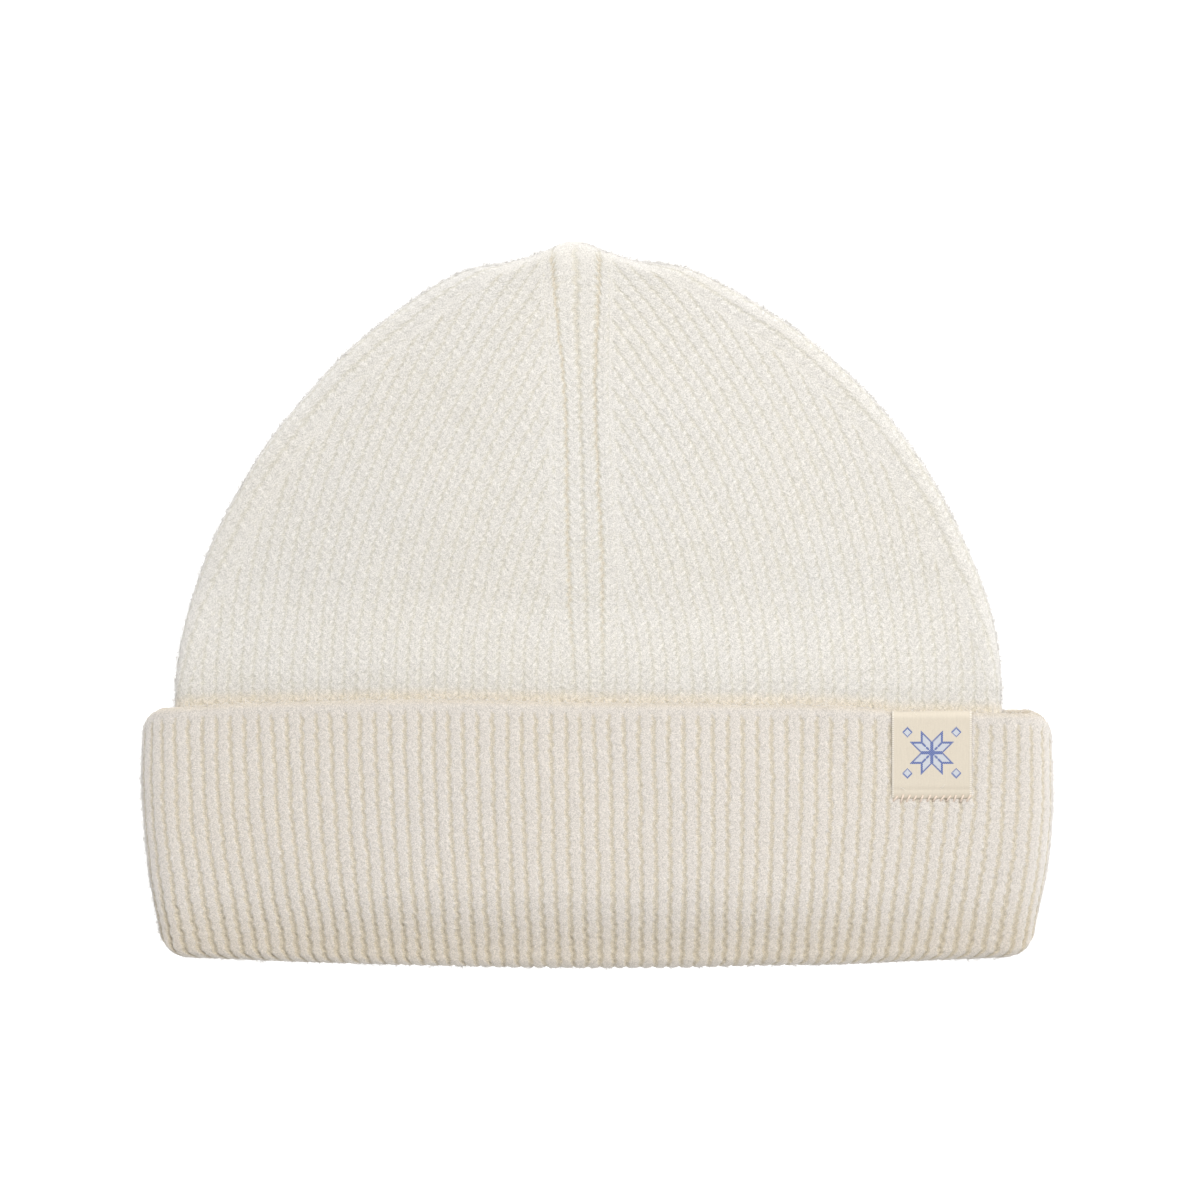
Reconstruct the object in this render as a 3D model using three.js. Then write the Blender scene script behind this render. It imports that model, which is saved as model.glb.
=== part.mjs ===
// A ribbed knit watch cap with its cuff turned up, lying flat on its back, and the woven
// label that is folded over the cuff's free edge. Millimetres, +Z up.
//
// X runs across the cap, Y from the folded bottom edge up to the tip of the crown, and Z is
// the thickness of the lying cap. The origin is in the middle of its footprint, on the
// surface that it lies on.
//
// The knit is one closed wall. Its profile starts at the tip, comes down the crown's outer
// face into the pocket behind the cuff, turns and climbs the cuff's inner face, passes over
// the free edge, comes down the ribbed outer face, rounds the bottom fold and climbs the
// inside of the cap back to the tip. Each station of that profile is a closed ring.
import * as THREE from 'three';

// The knit
const WALL = 2.8;                // thickness of one layer, crest to inner face
const RIBS = 132;                // wales counted round the cap
const GORES = 4;                 // of the crown, between its four decrease bands
const RIBS_PER_QUARTER = RIBS / GORES;
const CUFF_GROOVE_DEPTH = 0.8;
const CUFF_GROOVE_SHARE = 0.34;  // of a rib's pitch
const CROWN_PITCH = 3.34;
const CROWN_GROOVE_DEPTH = 0.45;
const BAND_GROOVE_DEPTH = 0.8;
const BAND_WALES = 2;            // on each side of a band's middle groove
const BAND_PITCH = 4.3;          // of a band's wales, up on the crown

// The lying cap, by its places in plan
const TIP_Y = 92.3;
const CROWN_BASE_Y = -21.5;
const CUFF_EDGE_Y = -26.6;
const FOLD_Y = -91.8;
const POCKET_RIB_Y = -36;        // where the crown's ribs end inside the pocket
const CROWN_HALF_WIDTH = 105.4;
const CROWN_ACROSS_POWER = 1.8;  // of the crown's outline, a superellipse
const CROWN_ALONG_POWER = 1.7;
const CROWN_MIDDLE_X = -2.3;
const TIP_LEAN = 3.6;            // the tip lies this far to the left of the crown's middle
const TIP_LEAN_POWER = 6;        // how late the outline follows the tip
const CUFF_MIDDLE_X = -0.2;
const CUFF_HALF_WIDTH_AT_EDGE = 115.6;
const CUFF_HALF_WIDTH_AT_FOLD = 111.2;
const BODY_HALF_WIDTH_AT_FOLD = 108;
const FOLD_BOW = 2.4;            // the fold's ends lie this much higher than its middle
const CORNER_RADIUS = 5;         // of the cuff's four corners in plan

// The section across the cap
const SIDE_FOLD_RADIUS = 1.5;    // inside the innermost layer's side folds
const FOLD_GAP = 0.6;            // between the cuff and the crown behind it, at the fold
const EDGE_GAP = 2;              // the same at the cuff's free edge
const ARCH_POWER = 1.5;
const ARCH_AT_CUFF = 11;         // rise of the upper layer's middle over its sides

// The crown's rows, by the angle that carries a row round the outline. lift is how far the
// back layer lies above the surface, and arch the rise of the front layer's middle.
const CROWN_SECTIONS = [
  { angle: 0, lift: 4.3, arch: 10.4 },
  { angle: 6, lift: 2.5, arch: 10.5 },
  { angle: 12, lift: 0.9, arch: 10.6 },
  { angle: 20, lift: 0, arch: 10.2 },
  { angle: 34, lift: 0, arch: 9.2 },
  { angle: 50, lift: 0, arch: 7.3 },
  { angle: 66, lift: 0, arch: 4.6 },
  { angle: 78, lift: 0, arch: 2.2 },
  { angle: 90, lift: 0, arch: 0 },
];
const OUTER_ROWS = [88.4, 85, 78, 70, 61, 51, 41, 31, 21, 12, 6, 0];
const INNER_ROWS = [4, 12, 21, 33, 46, 59, 71, 80, 86, 88.6];
const BANDS_FULL_AT = 20;        // the angle from which the bands have their full relief

// How far the rings turn, in half turns: over the free edge from the cuff's inner face to
// its outer one, and round the bottom fold from there to the inside of the cap.
const EDGE_STEPS = [
  { turn: 0.3, ribbed: false },
  { turn: 0.55, ribbed: false },
  { turn: 0.78, ribbed: true },
];
const FOLD_STEPS = [
  { turn: 0.25, ribbed: true },
  { turn: 0.5, ribbed: true },
  { turn: 0.75, ribbed: false },
];

// Where a ring with no ribs has its points, from the middle (0) to the side fold (1).
const PLAIN_SHARES = [0, 0.17, 0.33, 0.48, 0.61, 0.71, 0.8, 0.86, 0.91, 0.945, 0.975, 1];

// The label
const LABEL_WIDTH = 20.4;
const LABEL_MIDDLE_X = 85.3;
const LABEL_FRONT_Y = -50.3;     // its sewn lower end, on the cuff's outer face
const LABEL_BACK_Y = -46;        // its other end, in the pocket
const LABEL_THICKNESS = 0.7;
const LABEL_CLEARANCE = 0.35;
const LABEL_COLUMNS = 7;
const LABEL_BEND_STEPS = 6;

const CURVE_SAMPLES = 96;        // along a quarter of a section, to measure its length
const HALF_TURN = Math.PI;
const QUARTER_TURN = Math.PI / 2;

const radians = (degrees) => (degrees * Math.PI) / 180;
const mix = (a, b, share) => a + (b - a) * share;

// Straight lines between the rows of a table, read at one value of its key column.
function readTable(table, key, at, column) {
  const next = Math.max(1, table.findIndex((row) => row[key] >= at));
  const [low, high] = [table[next - 1], table[next]];
  return mix(low[column], high[column], (at - low[key]) / (high[key] - low[key]));
}

// How far a place lies from the fold (0) to the cuff's free edge (1).
const upTheCuff = (y) => (y - FOLD_Y) / (CUFF_EDGE_Y - FOLD_Y);
const pocketGap = (y) => mix(FOLD_GAP, EDGE_GAP, upTheCuff(y));

const bodyHalfWidth = (y) => mix(BODY_HALF_WIDTH_AT_FOLD, CROWN_HALF_WIDTH, upTheCuff(y));
const bodyMiddle = (y) => mix(CUFF_MIDDLE_X, CROWN_MIDDLE_X, upTheCuff(y));
const cuffHalfWidth = (y) =>
  mix(CUFF_HALF_WIDTH_AT_FOLD, CUFF_HALF_WIDTH_AT_EDGE, upTheCuff(y));
const cuffMiddle = () => CUFF_MIDDLE_X;

// The four faces of the turned-up part, from the head outwards. Each says how far it lies
// outside the head's hollow in section, and its half width and middle in plan.
const LAYERS = {
  inside: {
    offset: () => 0,
    halfWidth: (y) => bodyHalfWidth(y) - WALL,
    middle: bodyMiddle,
  },
  body: {
    offset: () => WALL,
    halfWidth: bodyHalfWidth,
    middle: bodyMiddle,
  },
  cuffInner: {
    offset: (y) => WALL + pocketGap(y),
    halfWidth: (y) => cuffHalfWidth(y) - WALL,
    middle: cuffMiddle,
  },
  cuffOuter: {
    offset: (y) => 2 * WALL + pocketGap(y),
    halfWidth: cuffHalfWidth,
    middle: cuffMiddle,
  },
};

// Height of the side folds where the cuff lies outside: the cuff's back rests at height 0.
const cuffSideHeight = (y) => SIDE_FOLD_RADIUS + 2 * WALL + pocketGap(y);
const cuffArch = (y) => mix(ARCH_AT_CUFF, CROWN_SECTIONS[0].arch, upTheCuff(y));

// One quarter of a section, from the middle to the side fold, as points (across, height).
// The fold is a quarter of an ellipse, and the front layer's arch stands on it:
// height = side + radius * sqrt(1 - u^2) + arch * (1 - (across / half width)^2)^power.
function quarterCurve({ halfWidth, foldAcross, foldHeight, sideHeight, arch, front }) {
  const heightAt = (across, upright) =>
    front
      ? sideHeight + foldHeight * upright +
        arch * (1 - Math.min(1, (across / halfWidth) ** 2)) ** ARCH_POWER
      : sideHeight - foldHeight * upright;
  const flat = halfWidth - foldAcross;
  const points = [];
  for (let i = 0; i < CURVE_SAMPLES; i++) {
    const across = (flat * i) / CURVE_SAMPLES;
    points.push([across, heightAt(across, 1)]);
  }
  for (let i = 0; i <= CURVE_SAMPLES; i++) {
    const angle = (QUARTER_TURN * i) / CURVE_SAMPLES;
    const across = flat + foldAcross * Math.sin(angle);
    points.push([across, heightAt(across, Math.cos(angle))]);
  }
  const lengths = [0];
  for (let i = 1; i < points.length; i++) {
    const [a, b] = [points[i - 1], points[i]];
    lengths.push(lengths[i - 1] + Math.hypot(b[0] - a[0], b[1] - a[1]));
  }
  return { points, lengths, length: lengths.at(-1) };
}

// The point at a length along a quarter's curve, moved in by depth across the curve.
function pointAlong(curve, length, depth, front) {
  const last = curve.lengths.length - 1;
  const found = curve.lengths.findIndex((value) => value > length);
  const next = found < 0 ? last : found;
  const [a, b] = [curve.points[next - 1], curve.points[next]];
  const step = curve.lengths[next] - curve.lengths[next - 1];
  const share = (length - curve.lengths[next - 1]) / step;
  const way = [(b[0] - a[0]) / step, (b[1] - a[1]) / step];
  const inward = front ? [way[1], -way[0]] : [-way[1], way[0]];
  return [
    mix(a[0], b[0], share) + inward[0] * depth,
    mix(a[1], b[1], share) + inward[1] * depth,
  ];
}

// Stations along a quarter, each with a key that grows from 0 at the middle of the cap to
// RIBS_PER_QUARTER at the side fold, its length along the curve, and its groove's depth.
const plainStations = (curve) =>
  PLAIN_SHARES.map((share) => ({
    key: share * RIBS_PER_QUARTER,
    length: share * curve.length,
    depth: 0,
  }));

// Ribs with flat crests and narrow grooves, evenly round the cuff.
function cuffStations(curve) {
  const stations = [];
  const half = CUFF_GROOVE_SHARE / 2;
  const add = (key, depth) =>
    stations.push({ key, length: (key / RIBS_PER_QUARTER) * curve.length, depth });
  for (let rib = 0; rib < RIBS_PER_QUARTER; rib++) {
    add(rib, CUFF_GROOVE_DEPTH);
    add(rib + half, 0);
    add(rib + 1 - half, 0);
  }
  add(RIBS_PER_QUARTER, CUFF_GROOVE_DEPTH);
  return stations;
}

// The crown's wales. Those of a gore run along its axis, the middle of the quarter, and end
// where they meet the bands, whose wales follow the middle of the cap and the side folds.
function crownStations(curve, angle) {
  const rise = Math.min(1, angle / BANDS_FULL_AT);
  const room = curve.length / (2 * BAND_WALES + 1);
  const bandPitch = Math.min(room, mix(curve.length / RIBS_PER_QUARTER, BAND_PITCH, rise));
  const bandDepth = mix(CROWN_GROOVE_DEPTH, BAND_GROOVE_DEPTH, rise);
  const pitch = mix(curve.length / RIBS_PER_QUARTER, CROWN_PITCH, rise);
  const middle = curve.length / 2;
  const field = middle - BAND_WALES * bandPitch;
  const start = [];
  for (let half = 0; half <= 2 * BAND_WALES; half++) {
    const depth = half % 2 ? 0 : bandDepth;
    start.push({ key: half / 2, length: (half / 2) * bandPitch, depth });
  }
  const end = start.map(({ key, length, depth }) => ({
    key: RIBS_PER_QUARTER - key,
    length: curve.length - length,
    depth,
  }));
  const wales = [];
  const most = Math.ceil((field / pitch) * 2);
  for (let half = -most; half <= most; half++) {
    const from = (half / 2) * pitch;
    if (Math.abs(from) < field - pitch / 4) {
      const depth = half % 2 ? CROWN_GROOVE_DEPTH : 0;
      wales.push({ key: RIBS_PER_QUARTER / 2 + half / 2, length: middle + from, depth });
    }
  }
  return [...start, ...wales, ...end.reverse()];
}

// A closed ring round the cap. Each side of it lies in an upright plane, from the middle
// (centre, in plan) to that side's fold (right or left, in plan). It starts at the right
// fold, runs over the front to the left fold and comes back along the back layer.
function makeRing({ centre, right, left, section, stationsOf, shift = () => 0 }) {
  const ring = [];
  const walk = [
    { side: right, front: true, outward: false },
    { side: left, front: true, outward: true },
    { side: left, front: false, outward: false },
    { side: right, front: false, outward: true },
  ];
  walk.forEach(({ side, front, outward }, quarter) => {
    const halfWidth = Math.hypot(side[0] - centre[0], side[1] - centre[1]);
    const way = [(side[0] - centre[0]) / halfWidth, (side[1] - centre[1]) / halfWidth];
    const foldAcross = Math.min(section.foldAcross, halfWidth);
    const curve = quarterCurve({ ...section, foldAcross, halfWidth, front });
    const stations = stationsOf(curve);
    const ordered = outward ? stations : [...stations].reverse();
    for (const { key, length, depth } of ordered.slice(0, -1)) {
      const [across, height] = pointAlong(curve, length, depth, front);
      const x = centre[0] + way[0] * across;
      const y = centre[1] + way[1] * across;
      ring.push({
        key: quarter * RIBS_PER_QUARTER + (outward ? key : RIBS_PER_QUARTER - key),
        point: [x, y + shift(across / halfWidth, halfWidth), height],
      });
    }
  });
  return ring;
}

// The corners of the turned-up part in plan: how far a ring drops from its level towards
// the side folds, as an arc of CORNER_RADIUS.
function cornerDrop(share, halfWidth) {
  const over = Math.max(0, share * halfWidth - (halfWidth - CORNER_RADIUS));
  return CORNER_RADIUS - Math.sqrt(Math.max(0, CORNER_RADIUS ** 2 - over ** 2));
}
const foldShift = (share, halfWidth) => FOLD_BOW * share ** 2 + cornerDrop(share, halfWidth);
const edgeShift = (share, halfWidth) => -cornerDrop(share, halfWidth);

// A ring of the turned-up part at one level, on a layer. swell moves it further outwards,
// as on the half round of the free edge and of the bottom fold.
function levelRing(layer, y, { level = y, swell = 0, stationsOf = plainStations, shift } = {}) {
  const half = layer.halfWidth(y) + swell;
  const middle = layer.middle(y);
  const radius = SIDE_FOLD_RADIUS + layer.offset(y) + swell;
  return makeRing({
    centre: [middle, level],
    right: [middle + half, level],
    left: [middle - half, level],
    section: {
      foldAcross: radius,
      foldHeight: radius,
      sideHeight: cuffSideHeight(y),
      arch: cuffArch(y),
    },
    stationsOf,
    shift,
  });
}

// A row of the crown. Its ends lie on the outline, a superellipse, and each half of it
// slopes up from the middle by half of its angle. inset is 0 on the outer face and WALL on
// the inner one.
function crownRow(angle, inset, stationsOf) {
  const turn = radians(angle);
  const halfWidth = (CROWN_HALF_WIDTH - inset) * Math.cos(turn) ** (2 / CROWN_ACROSS_POWER);
  const reach = TIP_Y - CROWN_BASE_Y - inset;
  const up = reach * Math.sin(turn) ** (2 / CROWN_ALONG_POWER);
  const middleUp = up - halfWidth * Math.tan(turn / 2);
  const lean = (share) => CROWN_MIDDLE_X - TIP_LEAN * share;
  const middleX = lean(middleUp / reach);
  const outlineX = lean((up / reach) ** TIP_LEAN_POWER);
  const radius = SIDE_FOLD_RADIUS + WALL - inset;
  const fromTip = Math.min(radius, reach - middleUp);
  return makeRing({
    centre: [middleX, CROWN_BASE_Y + middleUp],
    right: [outlineX + halfWidth, CROWN_BASE_Y + up],
    left: [outlineX - halfWidth, CROWN_BASE_Y + up],
    section: {
      foldAcross: radius,
      foldHeight: Math.sqrt(radius ** 2 - (radius - fromTip) ** 2),
      sideHeight: SIDE_FOLD_RADIUS + WALL + readTable(CROWN_SECTIONS, 'angle', angle, 'lift'),
      arch: readTable(CROWN_SECTIONS, 'angle', angle, 'arch'),
    },
    stationsOf: (curve) => stationsOf(curve, angle),
  });
}
const tipPoint = (inset) => [
  CROWN_MIDDLE_X - TIP_LEAN,
  TIP_Y - inset,
  SIDE_FOLD_RADIUS + WALL,
];

// The rings of the whole wall, from the outer tip to the inner tip.
function knitRings() {
  const { inside, body, cuffInner, cuffOuter } = LAYERS;
  const edgeCentre = CUFF_EDGE_Y - WALL / 2;
  const foldRadius = WALL + FOLD_GAP / 2;
  const foldCentre = FOLD_Y + foldRadius;
  const atEdge = { shift: edgeShift };
  const atFold = { shift: foldShift };
  const ribbed = { stationsOf: cuffStations };
  const stationsAt = (step) => (step.ribbed ? cuffStations : plainStations);
  const crown = OUTER_ROWS.map((angle) => crownRow(angle, 0, crownStations));
  const pocket = [
    levelRing(body, POCKET_RIB_Y, { stationsOf: (curve) => crownStations(curve, 0) }),
    levelRing(body, foldCentre, atFold),
    levelRing(body, foldCentre, {
      ...atFold, level: foldCentre - FOLD_GAP / 2, swell: FOLD_GAP / 2,
    }),
    levelRing(cuffInner, foldCentre, atFold),
    levelRing(cuffInner, edgeCentre, atEdge),
  ];
  const edge = EDGE_STEPS.map((step) =>
    levelRing(cuffInner, edgeCentre, {
      ...atEdge,
      level: edgeCentre + (WALL / 2) * Math.sin(step.turn * HALF_TURN),
      swell: (WALL / 2) * (1 - Math.cos(step.turn * HALF_TURN)),
      stationsOf: stationsAt(step),
    }));
  const outer = [
    levelRing(cuffOuter, edgeCentre, { ...atEdge, ...ribbed }),
    levelRing(cuffOuter, foldCentre, { ...atFold, ...ribbed }),
  ];
  const fold = FOLD_STEPS.map((step) =>
    levelRing(inside, foldCentre, {
      ...atFold,
      level: foldCentre - foldRadius * Math.sin(step.turn * HALF_TURN),
      swell: foldRadius * (1 + Math.cos(step.turn * HALF_TURN)),
      stationsOf: stationsAt(step),
    }));
  const hollow = [
    levelRing(inside, foldCentre, atFold),
    levelRing(inside, mix(FOLD_Y, CUFF_EDGE_Y, 0.5)),
    levelRing(inside, CUFF_EDGE_Y),
    ...INNER_ROWS.map((angle) => crownRow(angle, WALL, plainStations)),
  ];
  return [...crown, ...pocket, ...edge, ...outer, ...fold, ...hollow];
}

// Triangles between two rings with their own numbers of points: whichever ring's next key
// is smaller is stepped along.
function stitchRings(lower, lowerStart, upper, upperStart, faces) {
  const keyAt = (ring, i) => (i < ring.length ? ring[i].key : RIBS);
  let [i, j] = [0, 0];
  while (i < lower.length || j < upper.length) {
    const a = lowerStart + (i % lower.length);
    const b = upperStart + (j % upper.length);
    const stepLower =
      j >= upper.length || (i < lower.length && keyAt(lower, i + 1) <= keyAt(upper, j + 1));
    if (stepLower) {
      faces.push(a, b, lowerStart + ((i + 1) % lower.length));
      i++;
    } else {
      faces.push(a, b, upperStart + ((j + 1) % upper.length));
      j++;
    }
  }
}

function closedGeometry(positions, faces) {
  const geometry = new THREE.BufferGeometry();
  geometry.setAttribute('position', new THREE.Float32BufferAttribute(positions, 3));
  geometry.setIndex(faces);
  geometry.computeVertexNormals();
  return geometry;
}

function knitGeometry() {
  const rings = knitRings();
  const positions = [...tipPoint(0)];
  const faces = [];
  const starts = [];
  for (const ring of rings) {
    starts.push(positions.length / 3);
    for (const { point } of ring) {
      positions.push(...point);
    }
  }
  const innerTip = positions.length / 3;
  positions.push(...tipPoint(WALL));
  const first = rings[0].length;
  rings[0].forEach((_, i) => faces.push(0, starts[0] + ((i + 1) % first), starts[0] + i));
  for (let r = 1; r < rings.length; r++) {
    stitchRings(rings[r], starts[r], rings[r - 1], starts[r - 1], faces);
  }
  const last = rings.length - 1;
  const count = rings[last].length;
  rings[last].forEach((_, i) =>
    faces.push(innerTip, starts[last] + i, starts[last] + ((i + 1) % count)));
  return closedGeometry(positions, faces);
}

// A face of the cuff on the front layer, as a height over the plan.
function faceHeight(layer, x, y) {
  const across = (x - layer.middle(y)) / layer.halfWidth(y);
  const arch = cuffArch(y) * (1 - across ** 2) ** ARCH_POWER;
  return cuffSideHeight(y) + SIDE_FOLD_RADIUS + layer.offset(y) + arch;
}

// The label is a strip carried round the cuff's free edge. Its path runs up the outer face,
// over the edge and down into the pocket. turn is 0 on the outer face, where the strip lies
// above the wall, and half a turn in the pocket, where it lies below it.
function labelPath() {
  const edgeCentre = CUFF_EDGE_Y - WALL / 2;
  const path = [
    { y: LABEL_FRONT_Y, turn: 0 },
    { y: mix(LABEL_FRONT_Y, edgeCentre, 0.5), turn: 0 },
  ];
  for (let i = 0; i <= LABEL_BEND_STEPS; i++) {
    path.push({ y: edgeCentre, turn: (HALF_TURN * i) / LABEL_BEND_STEPS });
  }
  path.push({ y: LABEL_BACK_Y, turn: HALF_TURN });
  return path;
}

// A point of the strip, so far beyond the face of the cuff's wall.
function labelPoint(x, { y, turn }, beyond) {
  const top = faceHeight(LAYERS.cuffOuter, x, y);
  const under = faceHeight(LAYERS.cuffInner, x, y);
  const radius = (top - under) / 2 + beyond;
  return [x, y + radius * Math.sin(turn), (top + under) / 2 + radius * Math.cos(turn)];
}

function labelGeometry() {
  const path = labelPath();
  const count = 2 * path.length;
  const positions = [];
  const faces = [];
  for (let column = 0; column < LABEL_COLUMNS; column++) {
    const x = LABEL_MIDDLE_X + LABEL_WIDTH * (column / (LABEL_COLUMNS - 1) - 0.5);
    for (const place of path) {
      positions.push(...labelPoint(x, place, LABEL_CLEARANCE + LABEL_THICKNESS));
    }
    for (const place of [...path].reverse()) {
      positions.push(...labelPoint(x, place, LABEL_CLEARANCE));
    }
  }
  for (let column = 1; column < LABEL_COLUMNS; column++) {
    const [a, b] = [(column - 1) * count, column * count];
    for (let i = 0; i < count; i++) {
      const next = (i + 1) % count;
      faces.push(a + i, b + i, b + next, a + i, b + next, a + next);
    }
  }
  // The two cut sides of the strip: the outer path's points face the inner path's.
  const lastColumn = (LABEL_COLUMNS - 1) * count;
  for (let i = 0; i < path.length - 1; i++) {
    const [outer, outerNext, inner, innerNext] = [i, i + 1, count - 1 - i, count - 2 - i];
    faces.push(outer, outerNext, innerNext, outer, innerNext, inner);
    faces.push(lastColumn + outer, lastColumn + innerNext, lastColumn + outerNext);
    faces.push(lastColumn + outer, lastColumn + inner, lastColumn + innerNext);
  }
  return closedGeometry(positions, faces);
}

function namedMesh(name, geometry, material) {
  const mesh = new THREE.Mesh(geometry, material);
  mesh.name = name;
  return mesh;
}

const knit = new THREE.MeshStandardMaterial({ color: 0xe7e1d6, roughness: 0.95, metalness: 0 });
const woven = new THREE.MeshStandardMaterial({ color: 0xece2d2, roughness: 0.8, metalness: 0 });

const group = new THREE.Group();
group.add(namedMesh('knit_body', knitGeometry(), knit));
group.add(namedMesh('label', labelGeometry(), woven));

export default group;
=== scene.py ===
"""The looks of a ribbed knit watch cap: its stitches, yarn, woven label and studio.

Lengths in the formulas are millimetres, and the meshes are in metres. X runs across the cap,
Y from the folded bottom edge up to the tip of the crown, and Z is the thickness of the lying
cap. The knit's surface repeats the solid's shape from the same sizes.
"""
import bpy
import numpy as np
from bpy.props import FloatProperty, FloatVectorProperty, PointerProperty
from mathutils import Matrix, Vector


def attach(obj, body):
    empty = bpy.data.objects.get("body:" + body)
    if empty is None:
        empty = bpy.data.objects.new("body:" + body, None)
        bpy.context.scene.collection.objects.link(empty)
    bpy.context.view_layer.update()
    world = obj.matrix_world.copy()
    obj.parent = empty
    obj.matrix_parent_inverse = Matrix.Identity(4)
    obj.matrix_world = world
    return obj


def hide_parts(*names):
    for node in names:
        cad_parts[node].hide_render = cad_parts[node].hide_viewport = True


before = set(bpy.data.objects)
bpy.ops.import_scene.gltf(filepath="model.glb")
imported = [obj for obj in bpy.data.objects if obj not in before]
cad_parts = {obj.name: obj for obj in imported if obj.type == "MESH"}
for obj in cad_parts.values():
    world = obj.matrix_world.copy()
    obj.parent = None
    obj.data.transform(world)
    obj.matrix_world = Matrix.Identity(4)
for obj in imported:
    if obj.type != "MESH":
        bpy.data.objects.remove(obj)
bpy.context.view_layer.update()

bl_info = {
    "name": "Watch Cap",
    "version": (1, 0, 0),
    "blender": (4, 5, 0),
    "location": "3D View > Sidebar > Watch Cap",
    "description": "Knits a ribbed watch cap with a turned-up cuff and a folded woven label",
    "category": "Object",
}

MM = 0.001
BODY = "root"

# The solid's sizes, as in its source
WALL = 2.8
RIBS_PER_QUARTER = 33
CROWN_PITCH = 3.34
BAND_WALES = 2
BAND_PITCH = 4.3
TIP_Y = 92.3
CROWN_BASE_Y = -21.5
CUFF_EDGE_Y = -26.6
FOLD_Y = -91.8
CROWN_HALF_WIDTH = 105.4
CROWN_ACROSS_POWER = 1.8
CROWN_ALONG_POWER = 1.7
CROWN_MIDDLE_X = -2.3
TIP_LEAN = 3.6
TIP_LEAN_POWER = 6
CUFF_MIDDLE_X = -0.2
CUFF_HALF_WIDTH_AT_EDGE = 115.6
CUFF_HALF_WIDTH_AT_FOLD = 111.2
BODY_HALF_WIDTH_AT_FOLD = 108
FOLD_BOW = 2.4
CORNER_RADIUS = 5
SIDE_FOLD_RADIUS = 1.5
FOLD_GAP = 0.6
EDGE_GAP = 2
ARCH_POWER = 1.5
ARCH_AT_CUFF = 11
SECTION_ANGLES = [-90, 0, 6, 12, 20, 34, 50, 66, 78, 90, 180]
SECTION_ARCHES = [10.4, 10.4, 10.5, 10.6, 10.2, 9.2, 7.3, 4.6, 2.2, 0, 0]
LIFT_AT_BASE = 4.3
LIFT_ENDS = (-8, 30)
BANDS_FULL_AT = 20
LABEL_WIDTH = 20.4
LABEL_BACK_Y = -46

# How the woven label lies on the knit
LABEL_MIDDLE_X = 84.5
SEWN_END_Y = -49.0
LABEL_PULL = 0.5                 # the dent that it pulls into the cuff's free edge
LABEL_DENT = (0.2, 2.6)          # where the dent ends, from inside the label's edges to outside
LABEL_BED = 0.4                  # how deep it presses into the wool
BED_EDGE = (0.3, 0.7)            # where that ends beside it, from inside to outside
BED_END = (0.9, 0.3)             # and below and above its sewn end
LABEL_LIFT = -0.28               # from the cuff's unpressed face to its under side
LABEL_WEAVE_THICKNESS = 0.5
LABEL_EDGE = (0.35, 0.02)        # over which its long edges thin, and the least share squared
LABEL_END = (0.4, 0.04)          # the same of its ends
LABEL_SLACK = 0.1
SLACK_WAVES = (6, 7)             # lengths of the slack's waves across and along
SLACK_FROM = 9                   # keeps the noise's places positive
PRESSED_END = (0.3, 2.5)         # how deep the sewn end is pressed in, and over what length
HEM_DEPTH = 0.16
HEM_STARTS = (1.6, 2.2)
HEM_ENDS = (2.4, 3.2)
BEAD_HEIGHT = 0.1                # of the selvedges
BEAD = (0.8, 0.4)                # where they rise, from the long edges
EVEN_COLUMNS = 0.85              # share of even spacing, where the rest is closer at the edges

EDGE_CENTRE_Y = CUFF_EDGE_Y - WALL / 2
FOLD_RADIUS = WALL + FOLD_GAP / 2
FOLD_CENTRE_Y = FOLD_Y + FOLD_RADIUS
LAST_ANGLE = 83.7                # of the crown's slanting rows, before those over the tip

# Details of the knit that the solid leaves out
RIBS_AROUND = 4 * RIBS_PER_QUARTER
SIDE_BAND_SHIFT = 3.0            # the side bands' middles lie this far in front of the folds
BAND_COUNTS = [0, 0.5, 1, 1.5, 2, 2.5]
BAND_DEPTHS = [0.7, 0.8, 1.15, 0.8, 0.5, 0.6]
EDGE_RISE_PLACES = [-116, -91, -45, 2, 51, 77, 93, 116]
EDGE_RISES = [0.3, 1.8, 2.9, 2.0, 1.6, 0.3, -0.6, -0.9]
RIB_LEAN_PLACES = [-116, -95, -75, -38, 0, 51, 90, 116]
RIB_LEANS = [0, -3, -3, -1.5, -1.5, 0, 2, 0]
CUFF_BULGE = 2.2
MOUTH_SAG = (0.3, 17)            # share of the arch's height, and how far up it reaches
CORNER_REACH = 22                # how far the rounding of the corners goes from the edges
BOW_REACH = 50
UPPER_CORNERS_FROM = -50
SETTLES = (-24, -4)              # from the free edge, where the hidden rows sink to the crown's level
FOLD_STRETCH = 0.9               # how much deeper the grooves get where they turn the fold
STRETCH_STARTS = (-24, 2)        # from the fold's start, along the cuff
STRETCH_ENDS = (2.5, 7)
FOLD_PAINTED_SHADE = 0.5                 # painted shade: share of the cuff's darker tint towards the bottom fold, where the cuff turns away from the light
FOLD_SHADE_STARTS = (-13, 4)
WELT_DEPTH = 0.12                # share of the grooves' depth on the smooth welt
WELT = (2.2, 5.5)                # where it ends, along the cuff from the free edge
EDGE_NOTCH = (0.5, 1.4)          # share and width of the grooves over the free edge itself
EDGE_SHADE_ENDS = (0.2, 2.7)           # where the painted shade on the free edge's rim ends
TIP_SOFT = (9.0, 15.0)           # from the tip: where the softening is full, and where it ends
TIP_PASSES = 30
NECK_Y = 84.0                    # about it the outline starts to draw in to the gathered tip
NECK_SPREAD = (12, 6)
DRAWN_IN = 2.2                   # beside the tip, at DRAWN_AT from it, over DRAWN_WIDTH
DRAWN_AT = 15
DRAWN_WIDTH = 9
TIP_RISE = 1.0
TIP_WIDTH = 5.5
NARROW = (10, 62)                # lengths of a quarter's row between which the bands change
MIDDLE_WIDER = (0.9, -0.1)       # shares that the middle band's two wales gain by it
SIDE_NARROWER = 0.72             # share that a side band's wales lose by it
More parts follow.
